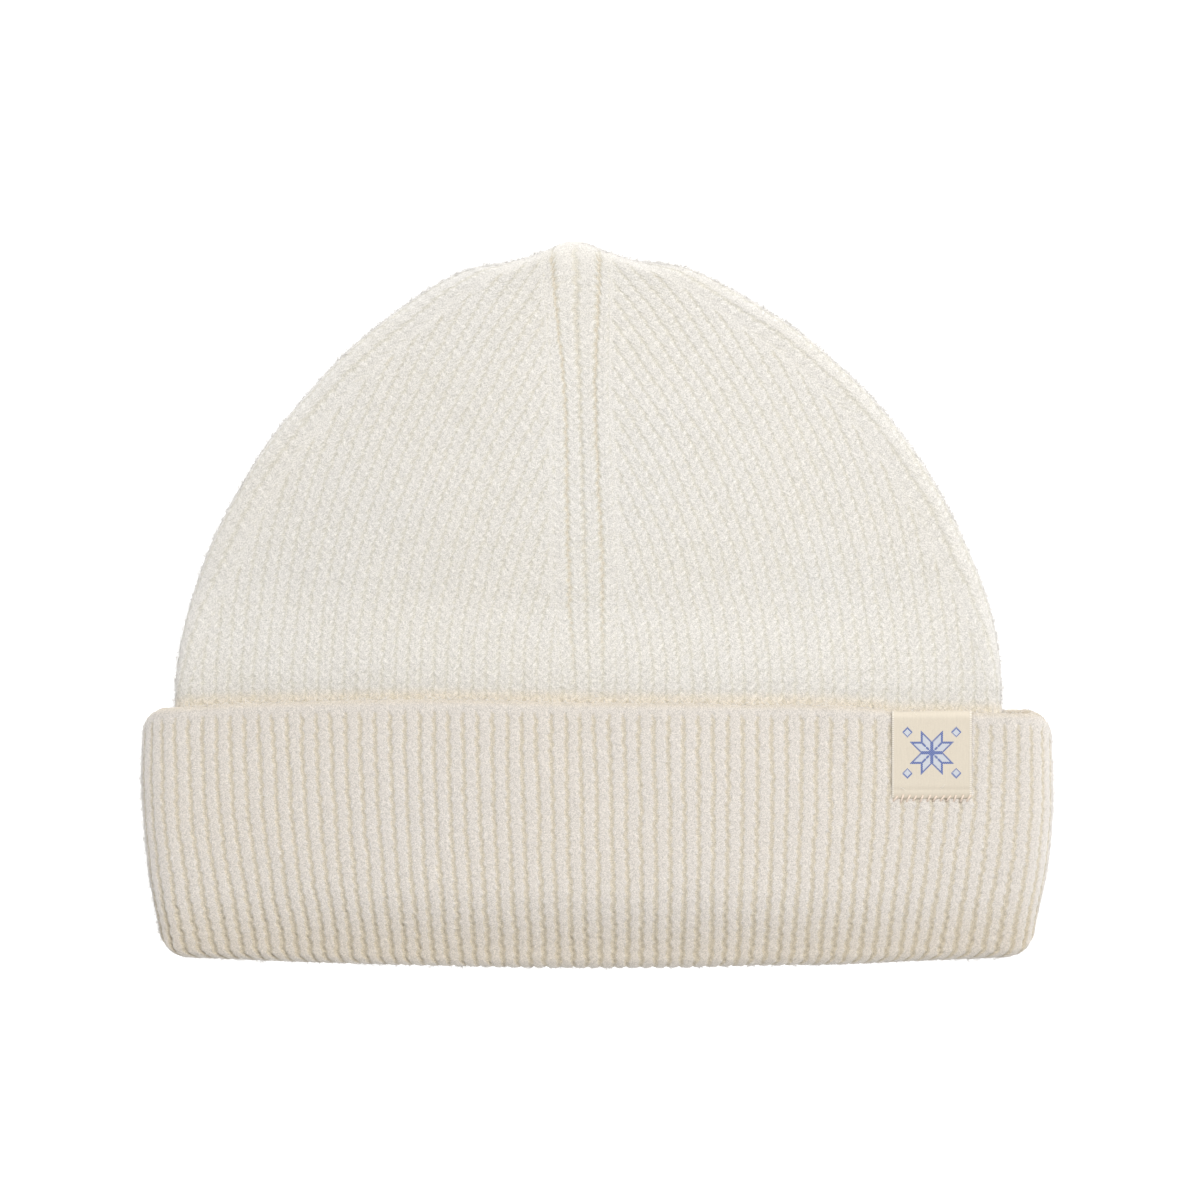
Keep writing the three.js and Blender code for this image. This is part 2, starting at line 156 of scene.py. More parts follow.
SIDE_MOST = 0.45                 # of the room beside the middle band, for a side band's wale
LEAN_OUT = 0.07                  # of the crown's wales, as a slope
LEAN_ENDS = 300.0                # climb at which they would be back in line
ARCH_ROUNDING = 5.0              # degrees
SLOPE_FULL_BY = 26.0             # degrees
SLOPE_POWER = 1.4
EDGE_SOFTNESS = 1.1              # over which a gore's relief runs out at a band
BAND_EDGE_DEPTH = 0.4            # share of the groove's depth that it runs out to
COLUMN_SHARE = 0.75
CROWDED = (16, 34)               # lengths of a quarter's row, by which the relief fades
CROWDED_SHARE = 0.3              # of such a row, beside the side folds
CLEAR_ENDS = (-8, 3)             # rows from the top edge over which the yarn's pattern fades
LOWEST = 0.02                    # of any point of the cloth over the floor
UNDULATION = (0.3, 20)           # height and breadth of the cloth's slow unevenness
INSIDE_RELIEF = 0.35

# How even the stitches are, in wales, courses and shares of their depth
SWING = 0.05                     # of a groove from side to side
WANDER = (0.06, 0.045)           # slow and quick unevenness of its place
COURSE_WANDER = 0.3
HOLES_BEYOND = 0.6               # on the way from the crest to the groove
HOLE_UNEVEN = 0.9
STITCH_UNEVEN = 0.6
HOLES = {"crown": 0.5, "cuff": 0.4}          # share of the groove's depth
SHARPNESS = {"crown": 2.6, "cuff": 2.2}      # the power that narrows the groove
DECREASE_DEPTH = 0.12            # of the dents at the side bands
DECREASE_PLACE = (0.5, 0.9)      # their middle and width, from the band's edge
DECREASE_SHARES = (0.35, 0.65)
DECREASES_FROM = (22, 34)        # lengths of a quarter's row by which they are there
SEEDS = {"crown": 3, "cuff": 7, "crown swell": 11, "cuff swell": 12, "sewing": 17,
         "slack": 21, "hairs": 31}

# How the surfaces are divided
NOISE_REPEAT = 256
NOISE_START = 50                 # keeps the noise's places positive
ARCH_SAMPLES = 9
GORE_SAMPLES = 900
CURVE_SAMPLES = 96               # along each part of a quarter of a section
ROW_KEY = 1000.0                 # longer than any section, to read all rows in one table
CROWN_STEP = 0.5                 # between rows, along the middle of a gore
HIDDEN_ROWS = 12                 # behind the cuff, up to HIDDEN_TO from its free edge
HIDDEN_TO = 8
BASE_ROWS = 28                   # from BASE_FROM below the free edge to the crown's base
BASE_FROM = 7.5
TIP_ROWS = 22
SEAM_ANGLE = 84.0                # degrees that the rows over the tip turn
CROWN_FRONT_COLUMNS = 460
CROWN_BACK_COLUMNS = 198
POCKET_ROWS = 14
EDGE_TURN_ROWS = 12
FOLD_TURN_ROWS = 24
CUFF_STEP = 0.4
CUFF_FRONT_PER_RIB = 9
CUFF_BACK_PER_RIB = 4
INSIDE_STEP = 2.6
INSIDE_PER_RIB = 3
LABEL_COLUMNS = 52
LABEL_STEP = 0.36
THREAD_SIDES = 8
THREAD_STEPS = 10
TUBE_UPRIGHT = (0.3, 0.1, 1.0)   # no path runs along it, so each ring can start from it
NO_TRIANGLES = np.zeros((0, 3), int)
KNIT_VALUES = ("depth", "clear", "tucked")

# The wool: its finish, and what the crown, the cuff and the inside have of their own
WOOL_FINISH = {
    "Roughness": 0.92, "Specular IOR Level": 0.2, "Sheen Weight": 0.7, "Sheen Roughness": 0.45}
CREST_TO_SIDE = (0.3, 1.2)       # shares of the groove's depth, over which the wales' sides take their painted shade
# painted shade down the wales' sides, as shares of the crest's colour
CREST_SIDE_PAINTED_SHADE = (0.93, 0.925, 0.88)
GROOVE_SHADE_DEPTHS = (0.1, 0.36)      # depths, in millimetres, between which the grooves' painted shade turns yellow
# Tints of painted light and shade: the crown lighter and warmer just above the cuff's free edge,
# where shadow falls; the cuff darker on its free edge's rim and towards its bottom fold
LIGHT_AND_SHADE_TINTS = {"crown": (1.12, 1.055, 0.95), "cuff": (0.82, 0.77, 0.68), "inside": (0.82, 0.77, 0.68)}
PAINTED_LIGHT_REACH = 4.0                  # over the free edge, where the crown's painted light ends
WOOL_BUMP = {"crown": 0.16, "cuff": 0.18, "inside": 0.16}
# Strengths of each part's stitch pattern: its painted shade and light, and its relief
STITCHES = {
    "crown": {"Legs": 0.24, "Crest line": 1.15, "Lines": 0.45, "Diagonal": 0.9},
    "cuff": {"Legs": 0.14, "Crest line": 0.8, "Lines": 0.3, "Diagonal": 0.3},
    "inside": {"Legs": 0.6, "Crest line": 0.3, "Lines": 0.5, "Diagonal": 0.0},
}
# turns the yarn's grain and painted shade into a factor on the colour
GRAIN_AND_SHADE_CONTRAST = {"From Min": 0.4, "From Max": 0.6, "To Min": 0.77, "To Max": 1.2}
PATCH_SCALE = 30.0
PATCH_TINTS = ((1.0, 0.985, 0.955), (0.985, 0.99, 1.0))

# The yarn's own pattern: scales of its strands across a wale, up it and from wale to wale,
# (scale, detail, roughness) of its noises, and shares in its painted shade and light, and in its
# height
YARN_INPUTS = {"Slant": 1.0, "Legs": 0.2, "Crest line": 0.8, "Lines": 1.0, "Diagonal": 1.0}
STRANDS = (5.0, 9.0, 3.7)
FIBRE_NOISE = (1.0, 4.0, 0.65)
FUZZ_NOISE = (3300.0, 3.0, 0.7)
FUZZ_SHARE = 0.65
CREST_LINE = (0.36, 0.0)         # where the line along the crest starts and is full
GROOVE_LINE = (0.68, 1.0)
DASH = 0.35                      # how much the lines are broken
YARN_PAINTED_SHADE = {"legs": 0.06, "lines": -0.055, "diagonal": -0.013}
YARN_HEIGHT = {"legs": 0.5, "lines": -0.8, "diagonal": -0.15}
GRAIN_HEIGHT = 2.0

# The label's weave, its pattern and its sewing
LABEL_FINISH = {"Roughness": 0.62, "Specular IOR Level": 0.3, "Sheen Weight": 0.12}
PATTERN_CELL = 0.27
PATTERN_LINE = 0.27
STAR_RADIUS = 5.4
STAR_UP = 11.6                   # the star's middle, from the label's sewn end
LOZENGE_PLACE = (6.2, 5.2)
LOZENGE_RADIUS = 1.3
LOZENGE_RIM = 1.5                # in lines
PALER_CELLS = 0.3
THREADS_ACROSS = 2 * np.pi / 0.36
THREADS_ALONG = 2 * np.pi / 0.4
WARP_SCALES = (3.4, 0.22)        # across and along
WARP_DETAIL = 3.0
SLUB_SCALE = 3000.0
WEAVE_SHADE = (0.86, 0.13, 0.15)  # of the plain cloth, the warp and the slub
WEAVE_HEIGHTS = (0.25, 0.8)      # of the weave and of the dots, where the warp has 1
WEAVE_BUMP = (0.06, 0.8)         # depth and strength
SELVEDGE = 0.55
SELVEDGE_BEAT = 2 * np.pi / 0.5
SELVEDGE_DOTS = -0.2             # of the sine, over which a thread shows
THREAD_FINISH = {"Roughness": 0.55}
THREAD_RADIUS = 0.27
THREAD_TWIST = (2.0, 9.0)        # of the plies round the thread and along a stitch
# painted shade between the thread's plies, as a share of its colour
PLY_PAINTED_SHADE = 0.8
THREAD_BUMP = 0.04
SEWN = 12
SEWN_LEANS = (0.3, 0.65)
SEWN_REACHES = (0.6, 1.0)
SEWN_STRAY = (-0.12, 0.12)
SEWN_UP = 0.1                    # of a stitch's middle, from the label's sewn end
SEWN_SUNK = 0.45                 # of its ends under the cuff's face
SEWN_HEIGHT = (0.85, 0.1)        # of a stitch, and how much higher it is towards its upper end

# Loose hairs: how many grow on each skin, their (t, radius), and in what range their values are
HAIRS = {"crown": 5200, "cuff": 4600}
HAIR_PROFILE = [(0, 0.05), (0.5, 0.045), (1, 0.02)]
HAIR_SIDES = 3
HAIR_LENGTHS = (0.8, 2.2)
HAIR_HEIGHTS = (0.4, 1.2)
HAIR_BENDS = (0, 0.6)
HAIR_CURLS = (-0.5, 0.5)
HAIR_ROOT = 0.1                  # how deep it starts in the wool
HAIRS_FROM_FLOOR = 0.3
HAIR_FINISH = {"Roughness": 0.9}
HAIR_PATCHES = 900.0
HAIR_PALENESS = 0.75             # share of white in the palest hairs, which light shines through
RIM_SHARE = 0.9                  # of the hairs, where the normal's rise is under RIM_NORMAL
RIM_NORMAL = 0.45

# The photograph's frame, in millimetres on the level of the cap's outline
PHOTO_WIDTH = 305.6
PHOTO_CENTRE = (0.51, 1.4)
OUTLINE_LEVEL = 9.0
SENSOR_WIDTH = 36.0

# The studio, in metres
CLIP = (0.01, 20)
FLOOR_REACH = 3.0
FLOOR_FINISH = {"Roughness": 0.9, "Specular IOR Level": 0.1}
SKY_BRIGHT_SIDE = (0.0, 0.08, 0.3)
HORIZON_GLOW = 1.5               # of the sky, added towards the horizon
KEY_PLACE = (0.43, 0.7, 1.3)
KEY_SIZE = 1.1
KEY_COLOR = (1.0, 0.99, 0.97)
WHITE = (1, 1, 1, 1)


class KnitSettings(bpy.types.PropertyGroup):
    """Sizes and colours of the knit."""

    cuff_groove: FloatProperty(
        name="Cuff groove", description="Depth of the grooves between the cuff's ribs",
        default=0.4 * MM, unit="LENGTH")
    crown_groove: FloatProperty(
        name="Crown groove", description="Depth of the grooves between the crown's wales",
        default=0.1 * MM, unit="LENGTH")
    band_groove: FloatProperty(
        name="Band groove", description="Depth of the grooves of the middle bands",
        default=0.23 * MM, unit="LENGTH")
    side_groove: FloatProperty(
        name="Side groove", description="Depth of the grooves of the bands at the sides",
        default=0.09 * MM, unit="LENGTH")
    stitch_relief: FloatProperty(
        name="Stitch relief", description="Height of one stitch over the next",
        default=0.06 * MM, unit="LENGTH")
    cuff_course: FloatProperty(
        name="Cuff course", description="Height of one course of stitches on the cuff",
        default=1.6 * MM, unit="LENGTH")
    crown_course: FloatProperty(
        name="Crown course", description="Height of one course of stitches on the crown",
        default=1.7 * MM, unit="LENGTH")
    crown_color: FloatVectorProperty(
        name="Crown yarn", description="Colour of the crown's yarn on the crests",
        subtype="COLOR", default=(0.628, 0.608, 0.576), min=0, max=1)
    cuff_color: FloatVectorProperty(
        name="Cuff yarn", description="Colour of the cuff's yarn on the crests",
        subtype="COLOR", default=(0.625, 0.587, 0.545), min=0, max=1)
    # painted shade and warm bounced light: the colour that the yarn goes to down in the grooves
    groove_shade_color: FloatVectorProperty(
        name="Yarn in the grooves", description="Colour of the yarn down in the grooves",
        subtype="COLOR", default=(0.59, 0.535, 0.44), min=0, max=1)


class LabelSettings(bpy.types.PropertyGroup):
    """Colours of the woven label."""

    ground_color: FloatVectorProperty(
        name="Ground", description="Colour of the label's ground weave", subtype="COLOR",
        default=(0.548, 0.493, 0.407), min=0, max=1)
    selvedge_color: FloatVectorProperty(
        name="Selvedge", description="Colour of the dotted threads along its two edges",
        subtype="COLOR", default=(0.68, 0.64, 0.57), min=0, max=1)
    outline_color: FloatVectorProperty(
        name="Outline", description="Colour of the pattern's outlines", subtype="COLOR",
        default=(0.036, 0.086, 0.302), min=0, max=1)
    fill_color: FloatVectorProperty(
        name="Filling", description="Colour inside the pattern's outlines", subtype="COLOR",
        default=(0.46, 0.48, 0.52), min=0, max=1)
    thread_color: FloatVectorProperty(
        name="Thread", description="Colour of the sewing thread", subtype="COLOR",
        default=(0.72, 0.6, 0.5), min=0, max=1)


class StageSettings(bpy.types.PropertyGroup):
    """The studio."""

    lens: FloatProperty(
        name="Lens", description="The camera's focal length in millimetres", default=240)
    sky: FloatProperty(
        name="Sky", description="Strength of the white light from all round", default=0.435)
    key_power: FloatProperty(
        name="Key light", description="Power of the large soft light", default=21.5,
        unit="POWER")
    floor_glow: FloatProperty(
        name="Floor glow", description="Light of the floor itself, as of a light table",
        default=1.2)
    floor_color: FloatVectorProperty(
        name="Floor", description="Colour of the floor", subtype="COLOR",
        default=(0.25, 0.25, 0.25), min=0, max=1)


def mix(a, b, share):
    """A straight line from a to b, read at a share from 0 to 1."""
    return a + (b - a) * share


def smooth_step(low, high, value):
    """0 below low, 1 above high, and 3t^2 - 2t^3 between them."""
    t = np.clip((value - low) / (high - low), 0, 1)
    return t * t * (3 - 2 * t)


def lattice_noise(u, v, seed, repeat=NOISE_REPEAT):
    """Values from -1 to 1 that change smoothly over one unit of u and v.

    Each whole place (u, v) has a random value, from a table that repeats along u after so
    many places, and between places the four nearest values are mixed with smooth shares.
    """
    table = np.random.default_rng(seed).uniform(-1, 1, (repeat, NOISE_REPEAT))
    left, low = np.floor(u).astype(int), np.floor(v).astype(int)
    across, up = smooth_step(0, 1, u - left), smooth_step(0, 1, v - low)
    at = lambda i, j: table[(left + i) % repeat, (low + j) % NOISE_REPEAT]
    return mix(mix(at(0, 0), at(1, 0), across), mix(at(0, 1), at(1, 1), across), up)


def crown_lift(up):
    """How far the crown's sides stand above the floor's fold, so far up from its base.

    They come down from the cuff's thickness to the floor in one smooth S.
    """
    return LIFT_AT_BASE * (1 - smooth_step(*LIFT_ENDS, up))


def up_the_cuff(y):
    """How far y lies from the fold (0) to the cuff's free edge (1)."""
    return (y - FOLD_Y) / (CUFF_EDGE_Y - FOLD_Y)


def near_fold(y, reach):
    """1 at the bottom fold's middle, falling smoothly to 0 at reach above it."""
    return 1 - smooth_step(FOLD_CENTRE_Y, FOLD_CENTRE_Y + reach, y)


def near_free_edge(y):
    """1 at the free edge's middle, falling smoothly to 0 at CORNER_REACH below it."""
    return smooth_step(EDGE_CENTRE_Y - CORNER_REACH, EDGE_CENTRE_Y, y)


def pocket_gap(y):
    """Gap between the cuff and the crown behind it."""
    return mix(FOLD_GAP, EDGE_GAP, up_the_cuff(y))


def layer_sizes(layer, y):
    """(offset outside the hollow, half width, middle) of a face of the turned-up part."""
    up = up_the_cuff(y)
    body = mix(BODY_HALF_WIDTH_AT_FOLD, CROWN_HALF_WIDTH, up)
    body_middle = mix(CUFF_MIDDLE_X, CROWN_MIDDLE_X, up)
    cuff = mix(CUFF_HALF_WIDTH_AT_FOLD, CUFF_HALF_WIDTH_AT_EDGE, up)
    cuff = cuff + CUFF_BULGE * np.sin(np.pi * np.clip(up, 0, 1))
    still = np.zeros_like(up)
    return {
        "inside": (still, body - WALL, body_middle),
        "body": (still + WALL, body, body_middle),
        "cuff_inner": (WALL + pocket_gap(y), cuff - WALL, still + CUFF_MIDDLE_X),
        "cuff_outer": (2 * WALL + pocket_gap(y), cuff, still + CUFF_MIDDLE_X),
    }[layer]


def cuff_arch(y):
    """Rise of the upper layer's middle over its sides, on the turned-up part. It sinks
    towards the fold, where the mouth closes."""
    sag, reach = MOUTH_SAG
    sunk = sag * near_fold(y, reach)
    return mix(ARCH_AT_CUFF, SECTION_ARCHES[0], up_the_cuff(y)) * (1 - sunk)


def free_edge_rise(x):
    """How far the cuff's free edge lies above its straight level: a table of places along it,
    and LABEL_PULL below that level under the label, with smooth ends."""
    inner, outer = LABEL_DENT
    under_label = 1 - smooth_step(
        LABEL_WIDTH / 2 - inner, LABEL_WIDTH / 2 + outer, np.abs(x - LABEL_MIDDLE_X))
    rise = np.interp(x, EDGE_RISE_PLACES, EDGE_RISES)
    return mix(rise, -LABEL_PULL, under_label)


def level_rows(layer, other, share, y, level, bow=0.0, corner=0.0):
    """Rows of the turned-up part, each at one level.

    A row lies a share of the way from one layer to the other. y says which sizes it has, and
    level where it lies. bow and corner are how much of the fold's bow and of the corners'
    rounding it follows.
    """
    y, level = np.asarray(y, float), np.asarray(level, float)
    near, far = layer_sizes(layer, y), layer_sizes(other, y)
    offset, half, middle = (mix(a, b, share) for a, b in zip(near, far))
    radius = SIDE_FOLD_RADIUS + offset
    return {
        "centre": np.stack([middle, level], 1),
        "right": np.stack([middle + half, level], 1),
        "left": np.stack([middle - half, level], 1),
        "fold_across": radius,
        "fold_height": radius,
        "side_height": SIDE_FOLD_RADIUS + 2 * WALL + pocket_gap(y),
        "arch": cuff_arch(y),
        "bow": np.full_like(y, bow),
        "corner": np.full_like(y, corner),
        "rise": np.zeros_like(y),
    }


def crown_arch(angles):
    """Rise of the crown's middle over its sides: the solid's table, with its corners rounded
    off by the mean over a few degrees to each side."""
    spread = np.linspace(-1, 1, ARCH_SAMPLES)[:, None] * ARCH_ROUNDING
    near = np.interp(angles + spread, SECTION_ANGLES, SECTION_ARCHES)
    return near.mean(0)


def settle(rows):
    """The rows behind the cuff sink smoothly to the level that the crown starts at."""
    y = rows["centre"][:, 1]
    crown_side = SIDE_FOLD_RADIUS + WALL + crown_lift(y - CROWN_BASE_Y)
    share = smooth_step(*SETTLES, y - CUFF_EDGE_Y)
    rows["side_height"] = mix(rows["side_height"], crown_side, share)
    return rows


def crown_rows(angles, inset):
    """Rows of the crown, by the angle that carries them round the outline.

    The outline is a superellipse, x = a cos(angle)^(2/p), y = b sin(angle)^(2/q). A row's two
    ends lie on it, and each half slopes up from the middle by up to half of the angle: it
    starts level at the crown's base, as slope = angle / 2 (1 - exp(-(angle / a)^b)). inset is
    0 on the outer face and the wall on the inner one.
    """
    angles = np.asarray(angles, float)
    turn = np.radians(angles)
    half = (CROWN_HALF_WIDTH - inset) * np.cos(turn) ** (2 / CROWN_ACROSS_POWER)
    reach = TIP_Y - CROWN_BASE_Y - inset
    up = reach * np.sin(turn) ** (2 / CROWN_ALONG_POWER)
    slope = turn / 2 * (1 - np.exp(-((angles / SLOPE_FULL_BY) ** SLOPE_POWER)))
    middle_up = up - half * np.tan(slope)
    middle_x = CROWN_MIDDLE_X - TIP_LEAN * middle_up / reach
    outline_x = CROWN_MIDDLE_X - TIP_LEAN * (up / reach) ** TIP_LEAN_POWER
    radius = SIDE_FOLD_RADIUS + WALL - inset
    from_tip = np.minimum(radius, reach - middle_up)
    return {
        "centre": np.stack([middle_x, CROWN_BASE_Y + middle_up], 1),
        "right": np.stack([outline_x + half, CROWN_BASE_Y + up], 1),
        "left": np.stack([outline_x - half, CROWN_BASE_Y + up], 1),
        "fold_across": np.full_like(angles, radius),
        "fold_height": np.sqrt(radius**2 - (radius - from_tip) ** 2),
        "side_height": SIDE_FOLD_RADIUS + WALL + crown_lift(up),
        "arch": crown_arch(angles),
        "bow": np.zeros_like(angles),
        "corner": np.zeros_like(angles),
        "rise": np.clip(angles / BANDS_FULL_AT, 0, 1),
    }


def over_the_tip(ring):
    """Rows that carry the crown's last ring over its top edge, to a short seam along it.

    Each column goes straight up: y = top - (top - y0) (1 - sin) and z = middle + (z0 - middle)
    cos of an angle from 0 to almost 90 degrees, where top is the outline over the column.
    """
    turn = np.radians(np.linspace(0, SEAM_ANGLE, TIP_ROWS + 1)[1:, None])
    x, y, z = ring[:, 0], ring[:, 1], ring[:, 2]
    away = np.abs(x - CROWN_MIDDLE_X + TIP_LEAN) / CROWN_HALF_WIDTH
    reach = (1 - away**CROWN_ACROSS_POWER) ** (1 / CROWN_ALONG_POWER)
    top = np.maximum(y, mix(CROWN_BASE_Y, TIP_Y, reach))
    middle = SIDE_FOLD_RADIUS + WALL
    return np.stack([
        x + 0 * turn,
        top - (top - y) * (1 - np.sin(turn)),
        middle + (z - middle) * np.cos(turn),
    ], 2)


def join_rows(*parts):
    """Several sets of rows, one after the other."""
    return {key: np.concatenate([part[key] for part in parts]) for key in parts[0]}


def quarter_points(rows, side, front, shares):
    """Points of one quarter of every row, at shares of its length from the middle.

    The side fold is a quarter of an ellipse, and the front layer's arch stands on it:
    height = side + fold sqrt(1 - u^2) + arch (1 - (across / half width)^2)^power. It gives
    the points and the quarter's whole length in each row.
    """
    way = rows[side] - rows["centre"]
    half = np.hypot(way[:, 0], way[:, 1])[:, None]
    fold = np.minimum(rows["fold_across"][:, None], half)
    angle = np.linspace(0, np.pi / 2, CURVE_SAMPLES + 1)[None, :]
    flat = (half - fold) * np.linspace(0, 1, CURVE_SAMPLES, endpoint=False)[None, :]
    across = np.concatenate([flat, half - fold + fold * np.sin(angle)], 1)
    upright = np.concatenate([np.ones_like(flat), np.cos(angle) + 0 * half], 1)
    side_height = rows["side_height"][:, None]
    fold_height = rows["fold_height"][:, None]
    if front:
        arch = (1 - np.minimum(1, (across / half) ** 2)) ** ARCH_POWER
        height = side_height + fold_height * upright + rows["arch"][:, None] * arch
    else:
        height = side_height - fold_height * upright
    steps = np.hypot(np.diff(across, axis=1), np.diff(height, axis=1))
    lengths = np.concatenate([np.zeros_like(half), np.cumsum(steps, 1)], 1)
    whole = lengths[:, -1]
    row_start = ROW_KEY * np.arange(len(whole))[:, None]
    wanted = (row_start + whole[:, None] * shares[None, :]).ravel()
    table = (row_start + lengths).ravel()
    shape = (len(whole), len(shares))
    q = np.interp(wanted, table, across.ravel()).reshape(shape)
    z = np.interp(wanted, table, height.ravel()).reshape(shape)
    share = q / half
    over = np.maximum(0, q - (half - CORNER_RADIUS))
    drop = CORNER_RADIUS - np.sqrt(np.maximum(0, CORNER_RADIUS**2 - over**2))
    x = rows["centre"][:, :1] + way[:, :1] * share
    y = rows["centre"][:, 1:] + way[:, 1:] * share
    y = y + rows["bow"][:, None] * FOLD_BOW * share**2 + rows["corner"][:, None] * drop
    return np.stack([x, y, z], 2), whole


def closed_rings(rows, front_shares, back_shares):
    """The rows as rings, from the left fold over the front to the right fold and back.

    The shares run from 0 at the middle to 1 at the side fold. It gives the points, and for
    every point its distance from the middle along the row, its quarter's whole length, its
    side as -1 or 1, and whether it lies on the front.
    """
    parts = [
        ("left", True, front_shares[::-1]),
        ("right", True, front_shares[1:]),
        ("right", False, back_shares[::-1][1:]),
        ("left", False, back_shares[1:-1]),
    ]
    columns = []
    for side, is_front, shares in parts:
        points, length = quarter_points(rows, side, is_front, shares)
        columns.append((
            points,
            length[:, None] * shares[None, :],
            np.repeat(length[:, None], len(shares), 1),
            np.full(points.shape[:2], 1 if side == "right" else -1),
            np.full(points.shape[:2], is_front),
        ))
    return [np.concatenate(field, 1) for field in zip(*columns)]


def ring_normals(points, outward):
    """Unit normals of a grid whose rows are closed rings: the cross product of the step along
    the ring and the step to the next row. outward is the sign that points them outwards."""
    along = np.roll(points, -1, 1) - np.roll(points, 1, 1)
    up = np.gradient(points, axis=0)
    normal = np.cross(along, up) * outward
    return normal / np.maximum(np.linalg.norm(normal, axis=2, keepdims=True), 1e-9)


def wale_coordinate(along, whole, front, rise, climb):
    """Counts the wales of a quarter from its middle: whole numbers are grooves.

    Near the middle of the cap and near its side folds the wales follow the bands, and
    between them they keep one distance from the gore's axis, and lean out from it a little
    as they climb. The middle band widens towards the tip and the side bands narrow.

    It gives the count, how much a point belongs to the middle band and to a side band, how
    far it lies inside the gore from the side band, and its distance from the nearest edge of
    a band.
    """
    even = whole / RIBS_PER_QUARTER
    pitch = mix(even, CROWN_PITCH, rise)
    band_pitch = mix(even, BAND_PITCH, rise)
    near_tip = 1 - smooth_step(*NARROW, whole)
    inner_pitch, outer_pitch = (band_pitch * (1 + gain * near_tip) for gain in MIDDLE_WIDER)
    band_end = inner_pitch + outer_pitch
    last_pitch = np.minimum(
        band_pitch * (1 - SIDE_NARROWER * near_tip), SIDE_MOST * (whole - band_end))
    shift = np.where(front, -SIDE_BAND_SHIFT, SIDE_BAND_SHIFT) * rise * (1 - near_tip)
    end = whole + shift
    lean = LEAN_OUT * climb * (1 - climb / LEAN_ENDS)
    field = RIBS_PER_QUARTER / 2 + (along - end / 2 - lean) / pitch
    first = np.where(along < inner_pitch, along / inner_pitch,
                     1 + (along - inner_pitch) / outer_pitch)
    to_fold = (end - along) / last_pitch
    on_first = first < BAND_WALES
    on_last = (to_fold < BAND_WALES) & ~on_first
    count = np.where(on_first, first, np.where(on_last, RIBS_PER_QUARTER - to_fold, field))
    into_gore = end - along - BAND_WALES * last_pitch
    from_edge = np.minimum(np.abs(into_gore), np.abs(along - band_end))
    return count, on_first * rise, on_last * rise, into_gore, from_edge


def around(count, side, front):
    """The count carried round the whole cap: from the left fold over the front's middle at 0
    to the right fold and on over the back. side is -1 on the left half and 1 on the right."""
    return np.where(front, side * count, RIBS_AROUND / 2 - side * count)


def stitch_relief(wale, course, groove, stitch, hole, sharpness, seed):
    """Depth of the knit under its crests, as negative numbers.

    Across a wale, t runs from 0 on the crest to 1 in the groove, and the yarn falls away as
    groove sin^2(90 t^sharpness). The groove swings from side to side every two courses, with a
    small hole at each, half a course later in every second groove. Each stitch is a V of two
    legs, and overlaps the next where course - t is whole. It gives the depth, and the counts
    of wales and courses with their unevenness, for the yarn's own pattern.
    """
    noise = lambda wide, high, number: lattice_noise(
        wale * wide, course * high, seed + number, int(RIBS_AROUND * wide))
    stitches = course + COURSE_WANDER * noise(1, 0.2, 2)
    odd = np.floor(wale + 0.5) % 2
    swing = SWING * np.sin(np.pi * (stitches + odd))
    place = wale + WANDER[0] * noise(0.5, 0.25, 0) + WANDER[1] * noise(2, 0.9, 1) + swing
    across = place - np.floor(place) - 0.5
    t = np.minimum(np.abs(across) * 2, 1)
    rib = -groove * np.sin(np.pi / 2 * t**sharpness) ** 2
    beat = np.maximum(0, np.cos(2 * np.pi * (stitches + 0.5 * odd))) ** 2
    uneven = noise(1.5, 1.1, 3)
    holes = hole * groove * beat * smooth_step(HOLES_BEYOND, 1, t)
    holes = holes * (1 + HOLE_UNEVEN * uneven)
    legs = 0.5 - 0.5 * np.cos(2 * np.pi * (stitches - t))
    return rib - holes - stitch * (legs - STITCH_UNEVEN * uneven), place, stitches


def course_heights(points, distance, base):
    """Height of every point above the crown's base, for the count of courses.

    Most of it is the length of the point's own column from the row at the base, so that all
    stitches have one height, and the rest is the whole row's distance. Over the tip it is the
    column's length alone.
    """
    steps = np.linalg.norm(np.diff(points, axis=0), axis=2)
    lengths = np.concatenate([np.zeros_like(steps[:1]), np.cumsum(steps, 0)])
    lengths = lengths - lengths[base]
    count = len(distance)
    heights = mix(distance[:, None], lengths[:count], COLUMN_SHARE)
    return np.concatenate([heights, heights[-1] + lengths[count:] - lengths[count - 1]])


def decrease_holes(wale, into_gore, rise):
    """Dents where a gore's grooves run out at the side band: the cube of the groove's cosine
    across it, times a bell inside the gore's edge. Every second one is deeper."""
    groove = np.maximum(0, np.cos(2 * np.pi * wale)) ** 3
    middle, width = DECREASE_PLACE
    near = np.exp(-(((into_gore - middle) / width) ** 2)) * (into_gore > 0)
    least, more = DECREASE_SHARES
    deeper = least + more * np.maximum(0, np.cos(np.pi * wale))
    return DECREASE_DEPTH * groove * near * rise * deeper


def gather_tip(points):
    """Draws the outline in beside the tip.

    With a smooth share that grows past NECK_Y, the points sink by a bell whose middle is
    DRAWN_AT to each side of the tip, and the tip itself rises by a flat bell exp(-t^4).
    """
    gathered = points.copy()
    x = points[..., 0] - (CROWN_MIDDLE_X - TIP_LEAN)
    below, over = NECK_SPREAD
    above = smooth_step(NECK_Y - below, NECK_Y + over, points[..., 1])
    beside = np.exp(-(((np.abs(x) - DRAWN_AT) / DRAWN_WIDTH) ** 2))
    gathered[..., 1] -= DRAWN_IN * above * beside
    gathered[..., 1] += TIP_RISE * above * np.exp(-((x / TIP_WIDTH) ** 4))
    return gathered


